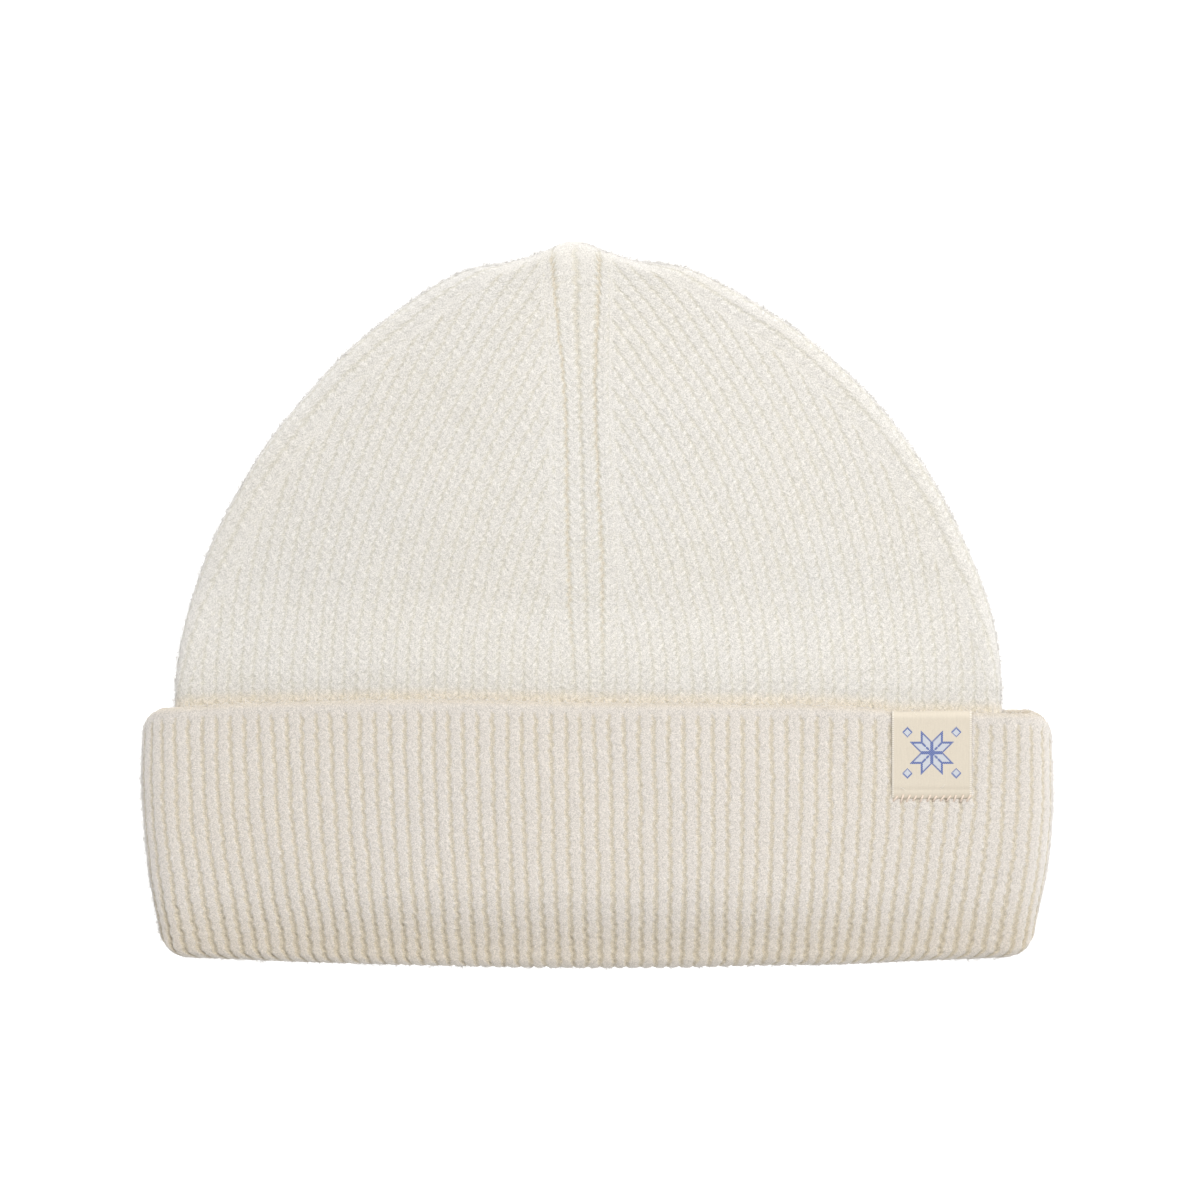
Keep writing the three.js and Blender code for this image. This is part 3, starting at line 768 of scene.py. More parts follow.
def soften_tip(points):
    """The skin with its sharp turns beside the seam rounded off.

    Each pass moves every point towards the mean of its four neighbours: half of the way
    within the first distance of TIP_SOFT, and not at all beyond the second.
    """
    away = np.hypot(points[..., 0] - (CROWN_MIDDLE_X - TIP_LEAN), points[..., 1] - TIP_Y)
    share = 0.5 * (1 - smooth_step(*TIP_SOFT, away))[..., None]
    for _ in range(TIP_PASSES):
        tall = np.pad(points, ((1, 1), (0, 0), (0, 0)), "edge")
        mean = (tall[2:] + tall[:-2] + np.roll(points, 1, 1) + np.roll(points, -1, 1)) / 4
        points = mix(points, mean, share)
    return points


def undulation(points, seed):
    """Slow unevenness of the lying cloth, by its height and breadth in UNDULATION."""
    height, breadth = UNDULATION
    x, y = points[..., 0] / breadth, points[..., 1] / breadth
    return height * lattice_noise(x + NOISE_START, y + NOISE_START, seed)


def add_mesh(name, points, quads, triangles=None):
    """A smooth mesh object at the origin, from points in millimetres and faces."""
    mesh = bpy.data.meshes.new(name)
    faces = [quads] if triangles is None or not len(triangles) else [quads, triangles]
    loops = np.concatenate([f.ravel() for f in faces])
    sizes = np.concatenate([np.full(len(f), f.shape[1]) for f in faces])
    mesh.vertices.add(len(points))
    mesh.vertices.foreach_set("co", (np.asarray(points) * MM).astype(np.float32).ravel())
    mesh.loops.add(len(loops))
    mesh.loops.foreach_set("vertex_index", loops.astype(np.int32))
    mesh.polygons.add(len(sizes))
    starts = np.concatenate([[0], np.cumsum(sizes)[:-1]])
    mesh.polygons.foreach_set("loop_start", starts.astype(np.int32))
    mesh.polygons.foreach_set("loop_total", sizes.astype(np.int32))
    mesh.polygons.foreach_set("use_smooth", np.ones(len(sizes), bool))
    mesh.update(calc_edges=True)
    mesh.validate()
    piece = bpy.data.objects.new(name, mesh)
    bpy.context.scene.collection.objects.link(piece)
    return piece


def facing_out(points, quads, triangles):
    """The faces of closed shells, turned round if the volume that they enclose is negative."""
    corners = np.concatenate([quads[:, :3], quads[:, [0, 2, 3]], triangles])
    a, b, c = (points[corners[:, i]] for i in range(3))
    if (a * np.cross(b, c)).sum() < 0:
        return quads[:, ::-1], triangles[:, ::-1]
    return quads, triangles


def grid_faces(row_count, column_count, flip=False):
    """Quads between neighbouring rows and columns of a grid of points."""
    index = np.arange(row_count * column_count).reshape(row_count, column_count)
    a, b = index[:-1, :-1], index[:-1, 1:]
    c, d = index[1:, 1:], index[1:, :-1]
    corners = [a, d, c, b] if flip else [a, b, c, d]
    return np.stack([corner.ravel() for corner in corners], 1)


def add_attribute(piece, name, values):
    """A number on every vertex, for the materials."""
    attribute = piece.data.attributes.new(name, "FLOAT", "POINT")
    attribute.data.foreach_set("value", np.asarray(values, np.float32).ravel())


def add_uv(piece, u, v):
    """The piece's own map, here the count of wales and of courses."""
    layer = piece.data.uv_layers.new(name="knit")
    corner = np.zeros(len(piece.data.loops), np.int32)
    piece.data.loops.foreach_get("vertex_index", corner)
    pairs = np.stack([np.ravel(u)[corner], np.ravel(v)[corner]], 1)
    layer.data.foreach_set("uv", pairs.astype(np.float32).ravel())


def finish_piece(piece, material, node):
    """Gives a piece its material, attaches it to its body, and hides the solid's part that it stands
    for.
    """
    piece.data.materials.append(material)
    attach(piece, BODY)
    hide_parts(node)
    return piece


def knit_piece(name, skin, columns, material, tip=None, flip=False):
    """One stretch of columns of a knitted skin as a piece, closed at its tip if it has one.

    skin holds the displaced points, the counts of wales and courses for the piece's map, and
    the KNIT_VALUES for its attributes.
    """
    points = skin["points"][:, columns]
    rows, count = points.shape[:2]
    flat = points.reshape(-1, 3)
    fields = {key: skin[key][:, columns] for key in ("wale", "course", *KNIT_VALUES)}
    if columns[-1] == 0:
        fields["wale"][:, -1] += RIBS_AROUND
    fields = {key: value.ravel() for key, value in fields.items()}
    triangles = None
    if tip is not None:
        last = np.arange((rows - 1) * count, rows * count)
        top = np.full(count - 1, rows * count)
        fan = [last[:-1], last[1:], top] if not flip else [last[1:], last[:-1], top]
        triangles = np.stack(fan, 1)
        flat = np.concatenate([flat, [tip]])
        fields = {key: np.append(value, value[-1]) for key, value in fields.items()}
    piece = add_mesh(name, flat, grid_faces(rows, count, flip), triangles)
    add_uv(piece, fields["wale"], fields["course"])
    for key in KNIT_VALUES:
        add_attribute(piece, key, fields[key])
    return finish_piece(piece, material, "knit_body")


def knit_round(name, skin, half, material, tip=None, flip=False):
    """A skin as three pieces: the left and the right half of its front, each so many columns
    wide, and its back."""
    ring = np.arange(skin["points"].shape[1])
    stretches = {
        "front_left": ring[:half + 1],
        "front_right": ring[half:2 * half + 1],
        "back": np.append(ring[2 * half:], 0),
    }
    for place, columns in stretches.items():
        knit_piece(f"{name}_{place}", skin, columns, material, tip, flip)


SKINS = {}                       # the finished skins, for the hairs that grow on them


def make_skin(points, outward, wale, course, relief, swell):
    """A skin moved along its normals by its relief and by the cloth's unevenness, and pressed
    flat where it lies on the floor. The yarn's pattern is clear all over it, and it has no
    painted light or shade, until its operator says otherwise."""
    normals = ring_normals(points, outward)
    moved = points + normals * (relief + swell)[..., None]
    moved[..., 2] = np.maximum(moved[..., 2], LOWEST)
    return {
        "points": moved,
        "normals": normals,
        "wale": wale,
        "course": course,
        "depth": np.clip(-relief, 0, None),
        "clear": np.ones_like(relief),
        "tucked": np.zeros_like(relief),
    }


def gore_rows(step):
    """Angles of the crown's rows, evenly spaced along the middle of a gore, and how far along
    it each lies."""
    dense = np.linspace(0, LAST_ANGLE, GORE_SAMPLES)
    points, _ = quarter_points(crown_rows(dense, 0), "right", True, np.array([0.5]))
    steps = np.linalg.norm(np.diff(points[:, 0], axis=0), axis=1)
    along = np.concatenate([[0], np.cumsum(steps)])
    places = np.linspace(0, along[-1], int(along[-1] / step) + 1)
    return np.interp(places, along, dense), places


def material_nodes(name):
    """A new material with its node tree and its Principled shader."""
    material = bpy.data.materials.new(name)
    material.use_nodes = True
    tree = material.node_tree
    return material, tree, tree.nodes["Principled BSDF"]


def set_inputs(tree, node, inputs):
    """Gives a node its inputs: values, or sockets that are linked to it."""
    for key, value in inputs.items():
        if isinstance(value, bpy.types.NodeSocket):
            tree.links.new(value, node.inputs[key])
        else:
            node.inputs[key].default_value = value


def add_node(tree, kind, inputs=None, **settings):
    """A node with its settings and its inputs."""
    node = tree.nodes.new(kind)
    for key, value in settings.items():
        setattr(node, key, value)
    set_inputs(tree, node, inputs or {})
    return node


def math_node(tree, operation, *values):
    """The result of one arithmetic step."""
    return add_node(
        tree, "ShaderNodeMath", dict(enumerate(values)), operation=operation).outputs[0]


def calculator(tree):
    """math_node for one tree."""
    return lambda operation, *values: math_node(tree, operation, *values)


def times(tree, first, second):
    """Two colours, or a colour and a number, multiplied."""
    return add_node(
        tree, "ShaderNodeVectorMath", {0: first, 1: second}, operation="MULTIPLY").outputs[0]


def mix_color(tree, share, first, second):
    """A mix of two colours."""
    return add_node(
        tree, "ShaderNodeMix", {0: share, 6: first, 7: second}, data_type="RGBA").outputs[2]


def with_alpha(color):
    """A colour as the nodes take it, with its fourth number."""
    return (*color, 1.0)


def fade(tree, value, low, high):
    """0 at low and 1 at high, with a smooth S between them."""
    return add_node(tree, "ShaderNodeMapRange", {
        "Value": value, "From Min": low, "From Max": high,
    }, interpolation_type="SMOOTHSTEP").outputs["Result"]


def noise_value(tree, place, scale, detail=2.0, roughness=0.5):
    """Noise from 0 to 1 at a place."""
    return add_node(tree, "ShaderNodeTexNoise", {
        "Vector": place, "Scale": scale, "Detail": detail, "Roughness": roughness,
    }).outputs["Fac"]


def bump(tree, height, depth, strength=1.0):
    """The normal that a height gives, where a height of 1 is so many millimetres."""
    return add_node(tree, "ShaderNodeBump", {
        "Height": height, "Strength": strength, "Distance": depth * MM}).outputs["Normal"]


def attribute(tree, name):
    """A number that the piece carries on its vertices."""
    return add_node(tree, "ShaderNodeAttribute", attribute_name=name).outputs["Fac"]


def object_place(tree):
    """The place on the object, in metres."""
    return add_node(tree, "ShaderNodeTexCoord").outputs["Object"]


def own_map(tree):
    """The two coordinates of the piece's own map."""
    uv = add_node(tree, "ShaderNodeUVMap", uv_map="knit")
    split = add_node(tree, "ShaderNodeSeparateXYZ", {"Vector": uv.outputs[0]})
    return split.outputs[0], split.outputs[1]


def new_group(name, inputs, outputs):
    """An empty node group with its inputs' names and values and its outputs' names. It gives
    the tree, what comes in and what goes out."""
    tree = bpy.data.node_groups.new(name, "ShaderNodeTree")
    for key, value in inputs.items():
        socket = tree.interface.new_socket(key, in_out="INPUT", socket_type="NodeSocketFloat")
        socket.default_value = value
    for key in outputs:
        tree.interface.new_socket(key, in_out="OUTPUT", socket_type="NodeSocketFloat")
    return tree, tree.nodes.new("NodeGroupInput").outputs, tree.nodes.new("NodeGroupOutput")


def yarn_group():
    """Node group: the stitches' legs, the lines between them, and the fibres of spun yarn.

    From the knit's own map it works out side, which runs from 0 on the crest of a wale to 1
    in the groove, and slants the course by that. A leg is where the cosine of the slanted
    course is high, and the fibres' noise is stretched along it. Thin broken lines run along
    the crest, between the two legs, and along the groove, and every second course stands out
    aslant. Grain is the fuzz's and fibres' random tone plus painted shade and light: lighter
    legs, and darker lines and aslant courses where shade falls between the stitches. Height
    is their relief. All but the fuzz fades with the attribute clear.
    """
    found = bpy.data.node_groups.get("yarn fibres")
    if found:
        return found
    tree, given, result = new_group("yarn fibres", YARN_INPUTS, ("GrainAndShade", "Height"))
    calc = calculator(tree)
    wale, course = own_map(tree)
    across = calc("SUBTRACT", calc("FRACT", wale), 0.5)
    side = calc("MULTIPLY", calc("ABSOLUTE", across), 2.0)
    slanted = calc("SUBTRACT", course, calc("MULTIPLY", side, given["Slant"]))
    stretched = add_node(tree, "ShaderNodeCombineXYZ", {
        index: calc("MULTIPLY", value, STRANDS[index])
        for index, value in enumerate((wale, slanted, calc("FLOOR", wale)))})
    clear = attribute(tree, "clear")
    fibres = calc("SUBTRACT", noise_value(tree, stretched.outputs[0], *FIBRE_NOISE), 0.5)
    fibres = calc("ADD", calc("MULTIPLY", fibres, clear), 0.5)
    fuzz = noise_value(tree, object_place(tree), *FUZZ_NOISE)
    grain = calc("MULTIPLY_ADD", fuzz, FUZZ_SHARE, calc("MULTIPLY", fibres, 1 - FUZZ_SHARE))
    leg = calc("COSINE", calc("MULTIPLY", slanted, 2 * np.pi))
    lines = calc("ADD", calc("MULTIPLY", fade(tree, side, *CREST_LINE), given["Crest line"]),
                 fade(tree, side, *GROOVE_LINE))
    lines = calc("MULTIPLY", lines, calc("MULTIPLY_ADD", leg, DASH, 1 - DASH))
    turn = calc("SUBTRACT", calc("ABSOLUTE", wale), calc("MULTIPLY", course, 0.5))
    diagonal = calc("COSINE", calc("MULTIPLY", turn, 2 * np.pi))
    # the stitches' painted shade and light are added to the grain here
    light, height = grain, calc("MULTIPLY", grain, GRAIN_HEIGHT)
    for name, value in (("legs", leg), ("lines", lines), ("diagonal", diagonal)):
        strength = calc("MULTIPLY", clear, given[name.capitalize()])
        value = calc("MULTIPLY", value, strength)
        light = calc("MULTIPLY_ADD", value, YARN_PAINTED_SHADE[name], light)
        height = calc("MULTIPLY_ADD", value, YARN_HEIGHT[name], height)
    set_inputs(tree, result, {"GrainAndShade": light, "Height": height})
    return tree


def knit_material(part, color, groove, settings):
    """Matt cream wool, with painted shade where shade falls between the wales: greyer down
    their sides, and a darker yellow of painted shade and warm bounced light in the grooves past
    a given depth. A vertex attribute tints it with the part's own tint: painted light on the
    crown just above the cuff's free edge, and painted shade on the cuff's free edge and towards
    its bottom fold. groove is the depth, in metres, that the sides' painted shade goes by."""
    material, tree, shader = material_nodes(f"wool, {part}")
    depth = attribute(tree, "depth")
    deep = fade(tree, depth, *(share * groove / MM for share in CREST_TO_SIDE))
    deepest = fade(tree, depth, *GROOVE_SHADE_DEPTHS)
    yarn = add_node(tree, "ShaderNodeGroup", STITCHES[part], node_tree=yarn_group())
    # painted shade down the wales' sides and in the grooves, by their depth
    painted_shade = tuple(share * value for share, value in zip(CREST_SIDE_PAINTED_SHADE, color))
    mixed = mix_color(tree, deep, with_alpha(color), with_alpha(painted_shade))
    mixed = mix_color(tree, deepest, mixed, with_alpha(settings.groove_shade_color))
    # the tint of painted light and shade, by the vertex attribute
    light_and_shade_tint = mix_color(tree, attribute(tree, "tucked"), WHITE, with_alpha(LIGHT_AND_SHADE_TINTS[part]))
    grain = add_node(tree, "ShaderNodeMapRange", {
        "Value": yarn.outputs["GrainAndShade"], **GRAIN_AND_SHADE_CONTRAST}, clamp=False).outputs["Result"]
    patches = noise_value(tree, object_place(tree), PATCH_SCALE)
    tint = mix_color(tree, patches, *map(with_alpha, PATCH_TINTS))
    set_inputs(tree, shader, {
        "Base Color": times(tree, times(tree, times(tree, mixed, grain), tint), light_and_shade_tint),
        "Normal": bump(tree, yarn.outputs["Height"], WOOL_BUMP[part]),
        **WOOL_FINISH,
    })
    return material


class WATCHCAP_OT_knit_crown(bpy.types.Operator):
    """Knit the crown, with its four gores, its bands and its part behind the cuff"""

    bl_idname = "watch_cap.knit_crown"
    bl_label = "Knit the crown"

    def execute(self, context):
        """Rows up the layer behind the cuff, the crown's own rows and those over the tip, all
        displaced by stitch_relief. The grooves' depth is mixed by how much a point belongs to
        a band, and the relief fades at the bands' edges, where the wales crowd beside the tip,
        and along the seam."""
        settings = context.scene.watch_cap_knit
        angles, places = gore_rows(CROWN_STEP)
        hidden = np.linspace(FOLD_CENTRE_Y, CUFF_EDGE_Y - HIDDEN_TO, HIDDEN_ROWS)
        seen = np.linspace(CUFF_EDGE_Y - BASE_FROM, CROWN_BASE_Y - CROWN_STEP, BASE_ROWS)
        levels = np.concatenate([hidden, seen])
        pocket = level_rows("body", "body", 0, levels, levels)
        pocket["bow"][0] = 1
        pocket["corner"][0] = 1
        rows = join_rows(settle(pocket), crown_rows(angles, 0))
        front = np.linspace(0, 1, CROWN_FRONT_COLUMNS // 2 + 1)
        back = np.linspace(0, 1, CROWN_BACK_COLUMNS // 2 + 1)
        fields = closed_rings(rows, front, back)
        fields[0] = np.concatenate([fields[0], over_the_tip(fields[0][-1])])
        points, along, whole, side, is_front = (
            np.concatenate([field, np.repeat(field[-1:], len(fields[0]) - len(field), 0)])
            for field in fields)
        rise = np.append(rows["rise"], np.ones(TIP_ROWS))[:, None]
        distance = np.concatenate([levels - CROWN_BASE_Y, places])
        climb = np.pad(np.maximum(distance, 0), (0, TIP_ROWS), "edge")[:, None]
        count, middle_band, side_band, into_gore, from_edge = wale_coordinate(
            along, whole, is_front, rise, climb)
        wale = around(count, side, is_front)
        course = course_heights(points, distance, len(levels)) / (settings.crown_course / MM)
        band_depth = settings.band_groove * np.interp(count, BAND_COUNTS, BAND_DEPTHS)
        groove = mix(settings.crown_groove, band_depth, middle_band)
        groove = mix(groove, settings.side_groove, side_band) / MM
        relief, wale, course = stitch_relief(
            wale, course, groove, settings.stitch_relief / MM, HOLES["crown"],
            SHARPNESS["crown"], SEEDS["crown"])
        dents = decrease_holes(wale, into_gore, rise)
        relief = relief - dents * smooth_step(*DECREASES_FROM, whole)
        crowded = smooth_step(0, CROWDED_SHARE, (whole - along) / whole)
        crowded = mix(1, crowded, 1 - smooth_step(*CROWDED, whole))
        relief = relief * crowded
        clear = mix(1, smooth_step(0, EDGE_SOFTNESS, from_edge), rise)
        relief = mix(-BAND_EDGE_DEPTH * settings.crown_groove / MM, relief, clear)
        points = soften_tip(gather_tip(points))
        to_seam = np.append(np.ones(len(points) - TIP_ROWS), np.linspace(1, 0, TIP_ROWS))
        relief = relief * to_seam[:, None]
        swell = undulation(points, SEEDS["crown swell"]) * to_seam[:, None]
        skin = make_skin(points, 1, wale, course, relief, swell)
        tip_rows = np.arange(len(points))[:, None] - (len(points) - TIP_ROWS)
        skin["clear"] = clear * (1 - smooth_step(*CLEAR_ENDS, tip_rows)) * crowded
        # painted light: the crown lighter and warmer just above the cuff's free edge, against the
        # shadow there
        edge = CUFF_EDGE_Y + free_edge_rise(points[..., 0]) * is_front
        skin["tucked"] = 1 - smooth_step(edge, edge + PAINTED_LIGHT_REACH, points[..., 1])
        skin["seen"] = len(hidden)
        SKINS["crown"] = skin
        wool = knit_material("crown", settings.crown_color, settings.crown_groove, settings)
        tip = skin["points"][-1].mean(0)
        knit_round("crown", skin, CROWN_FRONT_COLUMNS // 2, wool, tip)
        return {"FINISHED"}


class WATCHCAP_OT_knit_cuff(bpy.types.Operator):
    """Knit the turned-up cuff, from the pocket over its free edge to the bottom fold"""

    bl_idname = "watch_cap.knit_cuff"
    bl_label = "Knit the cuff"

    def execute(self, context):
        """Rows up the pocket's side, round the free edge, down the front and round the bottom
        fold, displaced by stitch_relief. The grooves are shallow on the welt, notched over the
        free edge, and deeper where they turn the fold."""
        settings = context.scene.watch_cap_knit
        inner = np.linspace(FOLD_CENTRE_Y, EDGE_CENTRE_Y, POCKET_ROWS)
        span = EDGE_CENTRE_Y - FOLD_CENTRE_Y
        outer = np.linspace(EDGE_CENTRE_Y, FOLD_CENTRE_Y, int(span / CUFF_STEP))
        edge_turn = np.linspace(0, np.pi, EDGE_TURN_ROWS + 1)[1:-1]
        fold_turn = np.linspace(0, np.pi, FOLD_TURN_ROWS + 1)[1:]
        rows = join_rows(
            level_rows("cuff_inner", "cuff_inner", 0, inner, inner),
            level_rows("cuff_inner", "cuff_outer", (1 - np.cos(edge_turn)) / 2,
                       np.full(len(edge_turn), EDGE_CENTRE_Y),
                       EDGE_CENTRE_Y + WALL / 2 * np.sin(edge_turn)),
            level_rows("cuff_outer", "cuff_outer", 0, outer, outer),
            level_rows("cuff_outer", "inside", (1 - np.cos(fold_turn)) / 2,
                       np.full(len(fold_turn), FOLD_CENTRE_Y),
                       FOLD_CENTRE_Y - FOLD_RADIUS * np.sin(fold_turn)),
        )
        y = rows["centre"][:, 1]
        rows["bow"] = near_fold(y, BOW_REACH)
        rounded = np.maximum(near_fold(y, CORNER_REACH), near_free_edge(y))
        rows["corner"] = np.where(y > UPPER_CORNERS_FROM, -rounded, rounded)
        front = np.linspace(0, 1, RIBS_PER_QUARTER * CUFF_FRONT_PER_RIB + 1)
        back = np.linspace(0, 1, RIBS_PER_QUARTER * CUFF_BACK_PER_RIB + 1)
        points, along, whole, side, is_front = closed_rings(rows, front, back)
        near = near_free_edge(y)[:, None] * is_front
        points[..., 1] += free_edge_rise(points[..., 0]) * near
        wale = around(RIBS_PER_QUARTER * along / whole, side, is_front)
        lean = np.tan(np.radians(np.interp(points[..., 0], RIB_LEAN_PLACES, RIB_LEANS)))
        above_middle = y[:, None] - (EDGE_CENTRE_Y + FOLD_CENTRE_Y) / 2
        wale = wale - lean * above_middle * is_front * RIBS_PER_QUARTER / whole
        steps = np.linalg.norm(np.diff(rows_path(rows), axis=0), axis=1)
        distance = np.concatenate([[0], np.cumsum(steps)])
        below = distance - distance[len(inner) + len(edge_turn) // 2]
        course = np.repeat(below[:, None], wale.shape[1], 1) / (settings.cuff_course / MM)
        notch, notch_width = EDGE_NOTCH
        welt = mix(WELT_DEPTH, 1, smooth_step(*WELT, below))
        welt = welt + notch * np.exp(-((below / notch_width) ** 2))
        past_fold = below - span
        stretched = 1 + FOLD_STRETCH * (
            smooth_step(*STRETCH_STARTS, past_fold) - smooth_step(*STRETCH_ENDS, past_fold))
        groove = settings.cuff_groove / MM * (welt * stretched)[:, None]
        relief, wale, course = stitch_relief(
            wale, course, groove, settings.stitch_relief / MM, HOLES["cuff"],
            SHARPNESS["cuff"], SEEDS["cuff"])
        swell = undulation(points, SEEDS["cuff swell"])
        swell = swell - label_bed(points) * (below[:, None] > 0) * is_front
        skin = make_skin(points, -1, wale, course, relief, swell)
        # painted shade: darker on the free edge's rim, against its highlight, and towards the bottom
        # fold, where the cuff turns away from the light
        painted_shade = 1 - smooth_step(*EDGE_SHADE_ENDS, below)
        painted_shade = painted_shade + FOLD_PAINTED_SHADE * smooth_step(*FOLD_SHADE_STARTS, past_fold)
        skin["tucked"] = np.repeat(painted_shade[:, None], wale.shape[1], 1)
        skin["seen"] = len(inner)
        SKINS["cuff"] = skin
        wool = knit_material("cuff", settings.cuff_color, settings.cuff_groove, settings)
        knit_round("cuff", skin, RIBS_PER_QUARTER * CUFF_FRONT_PER_RIB, wool, flip=True)
        return {"FINISHED"}


def label_bed(points):
    """How deep the label presses the cuff's wool down under it."""
    x, y = np.abs(points[..., 0] - LABEL_MIDDLE_X), points[..., 1]
    inner, outer = BED_EDGE
    below, above = BED_END
    inside = 1 - smooth_step(LABEL_WIDTH / 2 - inner, LABEL_WIDTH / 2 + outer, x)
    return LABEL_BED * inside * smooth_step(SEWN_END_Y - below, SEWN_END_Y + above, y)


def rows_path(rows):
    """The path of the rows over the front, in the upright plane through their middles."""
    top = rows["side_height"] + rows["fold_height"] + rows["arch"]
    return np.stack([rows["centre"][:, 1], top], 1)


class WATCHCAP_OT_knit_inside(bpy.types.Operator):
    """Knit the inner face of the cap, round the hollow for the head"""

    bl_idname = "watch_cap.knit_inside"
    bl_label = "Knit the inside"

    def execute(self, context):
        """Rows up the hollow and the crown's rows inset by the wall, displaced by the cosine of
        the count of wales."""
        settings = context.scene.watch_cap_knit
        angles, places = gore_rows(INSIDE_STEP)
        levels = np.arange(FOLD_CENTRE_Y, CROWN_BASE_Y - INSIDE_STEP, INSIDE_STEP / 2)
        body = level_rows("inside", "inside", 0, levels, levels)
        body["bow"] = near_fold(levels, CORNER_REACH)
        body["corner"] = body["bow"]
        rows = join_rows(settle(body), crown_rows(angles, WALL))
        shares = np.linspace(0, 1, RIBS_PER_QUARTER * INSIDE_PER_RIB + 1)
        points, along, whole, side, is_front = closed_rings(rows, shares, shares)
        wale = around(RIBS_PER_QUARTER * along / whole, side, is_front)
        distance = np.concatenate([levels - CROWN_BASE_Y, places])
        course = np.repeat(distance[:, None], wale.shape[1], 1) / (settings.crown_course / MM)
        relief = INSIDE_RELIEF * (np.cos(2 * np.pi * wale) - 1)
        skin = make_skin(points, -1, wale, course, relief, 0 * relief)
        wool = knit_material("inside", settings.crown_color, settings.cuff_groove, settings)
        tip = [CROWN_MIDDLE_X - TIP_LEAN, TIP_Y - WALL, SIDE_FOLD_RADIUS + WALL]
        ring = np.append(np.arange(points.shape[1]), 0)
        knit_piece("cap_inside", skin, ring, wool, tip, flip=True)
        return {"FINISHED"}


def cuff_face(layer, x, y):
    """Height of a face of the cuff's front over a place (x, y)."""
    offset, half, middle = layer_sizes(layer, y)
    arch = cuff_arch(y) * np.maximum(0, 1 - ((x - middle) / half) ** 2) ** ARCH_POWER
    side = SIDE_FOLD_RADIUS + 2 * WALL + pocket_gap(y)
    return side + SIDE_FOLD_RADIUS + offset + arch


def label_path():
    """The strip's path, from its sewn end up the cuff, round the free edge and down into the
    pocket: the level y, how far it has turned, and the distance along it."""
    bend = np.pi * (WALL / 2 + LABEL_LIFT + LABEL_WEAVE_THICKNESS / 2)
    bend_y = EDGE_CENTRE_Y - LABEL_PULL
    front, back = bend_y - SEWN_END_Y, bend_y - LABEL_BACK_Y
    distance = np.linspace(0, front + bend + back, int((front + bend + back) / LABEL_STEP))
    turned = np.clip((distance - front) / bend, 0, 1)
    y = SEWN_END_Y + np.minimum(distance, front)
    y = y - np.maximum(0, distance - front - bend)
    return y, np.pi * turned, distance


def label_points(x, y, turn, beyond):
    """Points of the strip so far beyond the cuff's wall: a half circle about the wall's middle
    where it turns."""
    top, under = cuff_face("cuff_outer", x, y), cuff_face("cuff_inner", x, y)
    radius = (top - under) / 2 + beyond
    return np.stack([
        x + 0 * y,
        y + radius * np.sin(turn),
        (top + under) / 2 + radius * np.cos(turn),
    ], 2)


def pattern_group():
    """Node group: the label's woven pattern, an eight-petalled star between four lozenges.

    The map is snapped to the weave's cells first. In one eighth of the star, x is the greater
    and y the smaller distance from its middle, and a petal is where p = y / half and
    q = (x - y) / half both lie between 0 and 1. A lozenge is where |x| + |y| is small. Every
    second cell of the outlines is paler. Outline and Fill are masks.
    """
    tree, given, result = new_group(
        "woven pattern",
        {"Cell": PATTERN_CELL, "Petal": STAR_RADIUS / 2, "Line": PATTERN_LINE},
        ("Outline", "Fill"))
    calc = calculator(tree)
    across, up = own_map(tree)
    cell, petal, line = given["Cell"], given["Petal"], given["Line"]
    u = calc("SNAP", calc("ADD", across, calc("MULTIPLY", cell, 0.5)), cell)
    v = calc("SNAP", calc("SUBTRACT", up, STAR_UP), cell)
    wide, high = calc("ABSOLUTE", u), calc("ABSOLUTE", v)
    x, y = calc("MAXIMUM", wide, high), calc("MINIMUM", wide, high)
    p, q = calc("DIVIDE", y, petal), calc("DIVIDE", calc("SUBTRACT", x, y), petal)
    edge = calc("MINIMUM", calc("MINIMUM", p, calc("SUBTRACT", 1.0, p)),
                calc("MINIMUM", q, calc("SUBTRACT", 1.0, q)))
    rim = calc("DIVIDE", line, petal)
    star = calc("GREATER_THAN", edge, calc("MULTIPLY", rim, -0.5))
    star_inside = calc("GREATER_THAN", edge, rim)
    from_corner = calc("ADD", calc("ABSOLUTE", calc("SUBTRACT", wide, LOZENGE_PLACE[0])),
                       calc("ABSOLUTE", calc("SUBTRACT", high, LOZENGE_PLACE[1])))
    lozenge = calc("LESS_THAN", from_corner, LOZENGE_RADIUS)
    lozenge_inside = calc("LESS_THAN", from_corner,
                          calc("SUBTRACT", LOZENGE_RADIUS, calc("MULTIPLY", line, LOZENGE_RIM)))
    fill = calc("MAXIMUM", star_inside, lozenge_inside)
    outline = calc("SUBTRACT", calc("MAXIMUM", star, lozenge), fill)
    pair = calc("DIVIDE", calc("ADD", u, v), calc("MULTIPLY", cell, 2.0))
    skipped = calc("GREATER_THAN", calc("FRACT", calc("ADD", pair, 0.25)), 0.5)
    outline = calc("MULTIPLY", outline, calc("MULTIPLY_ADD", skipped, -PALER_CELLS, 1.0))
    set_inputs(tree, result, {"Outline": outline, "Fill": fill})
    return tree


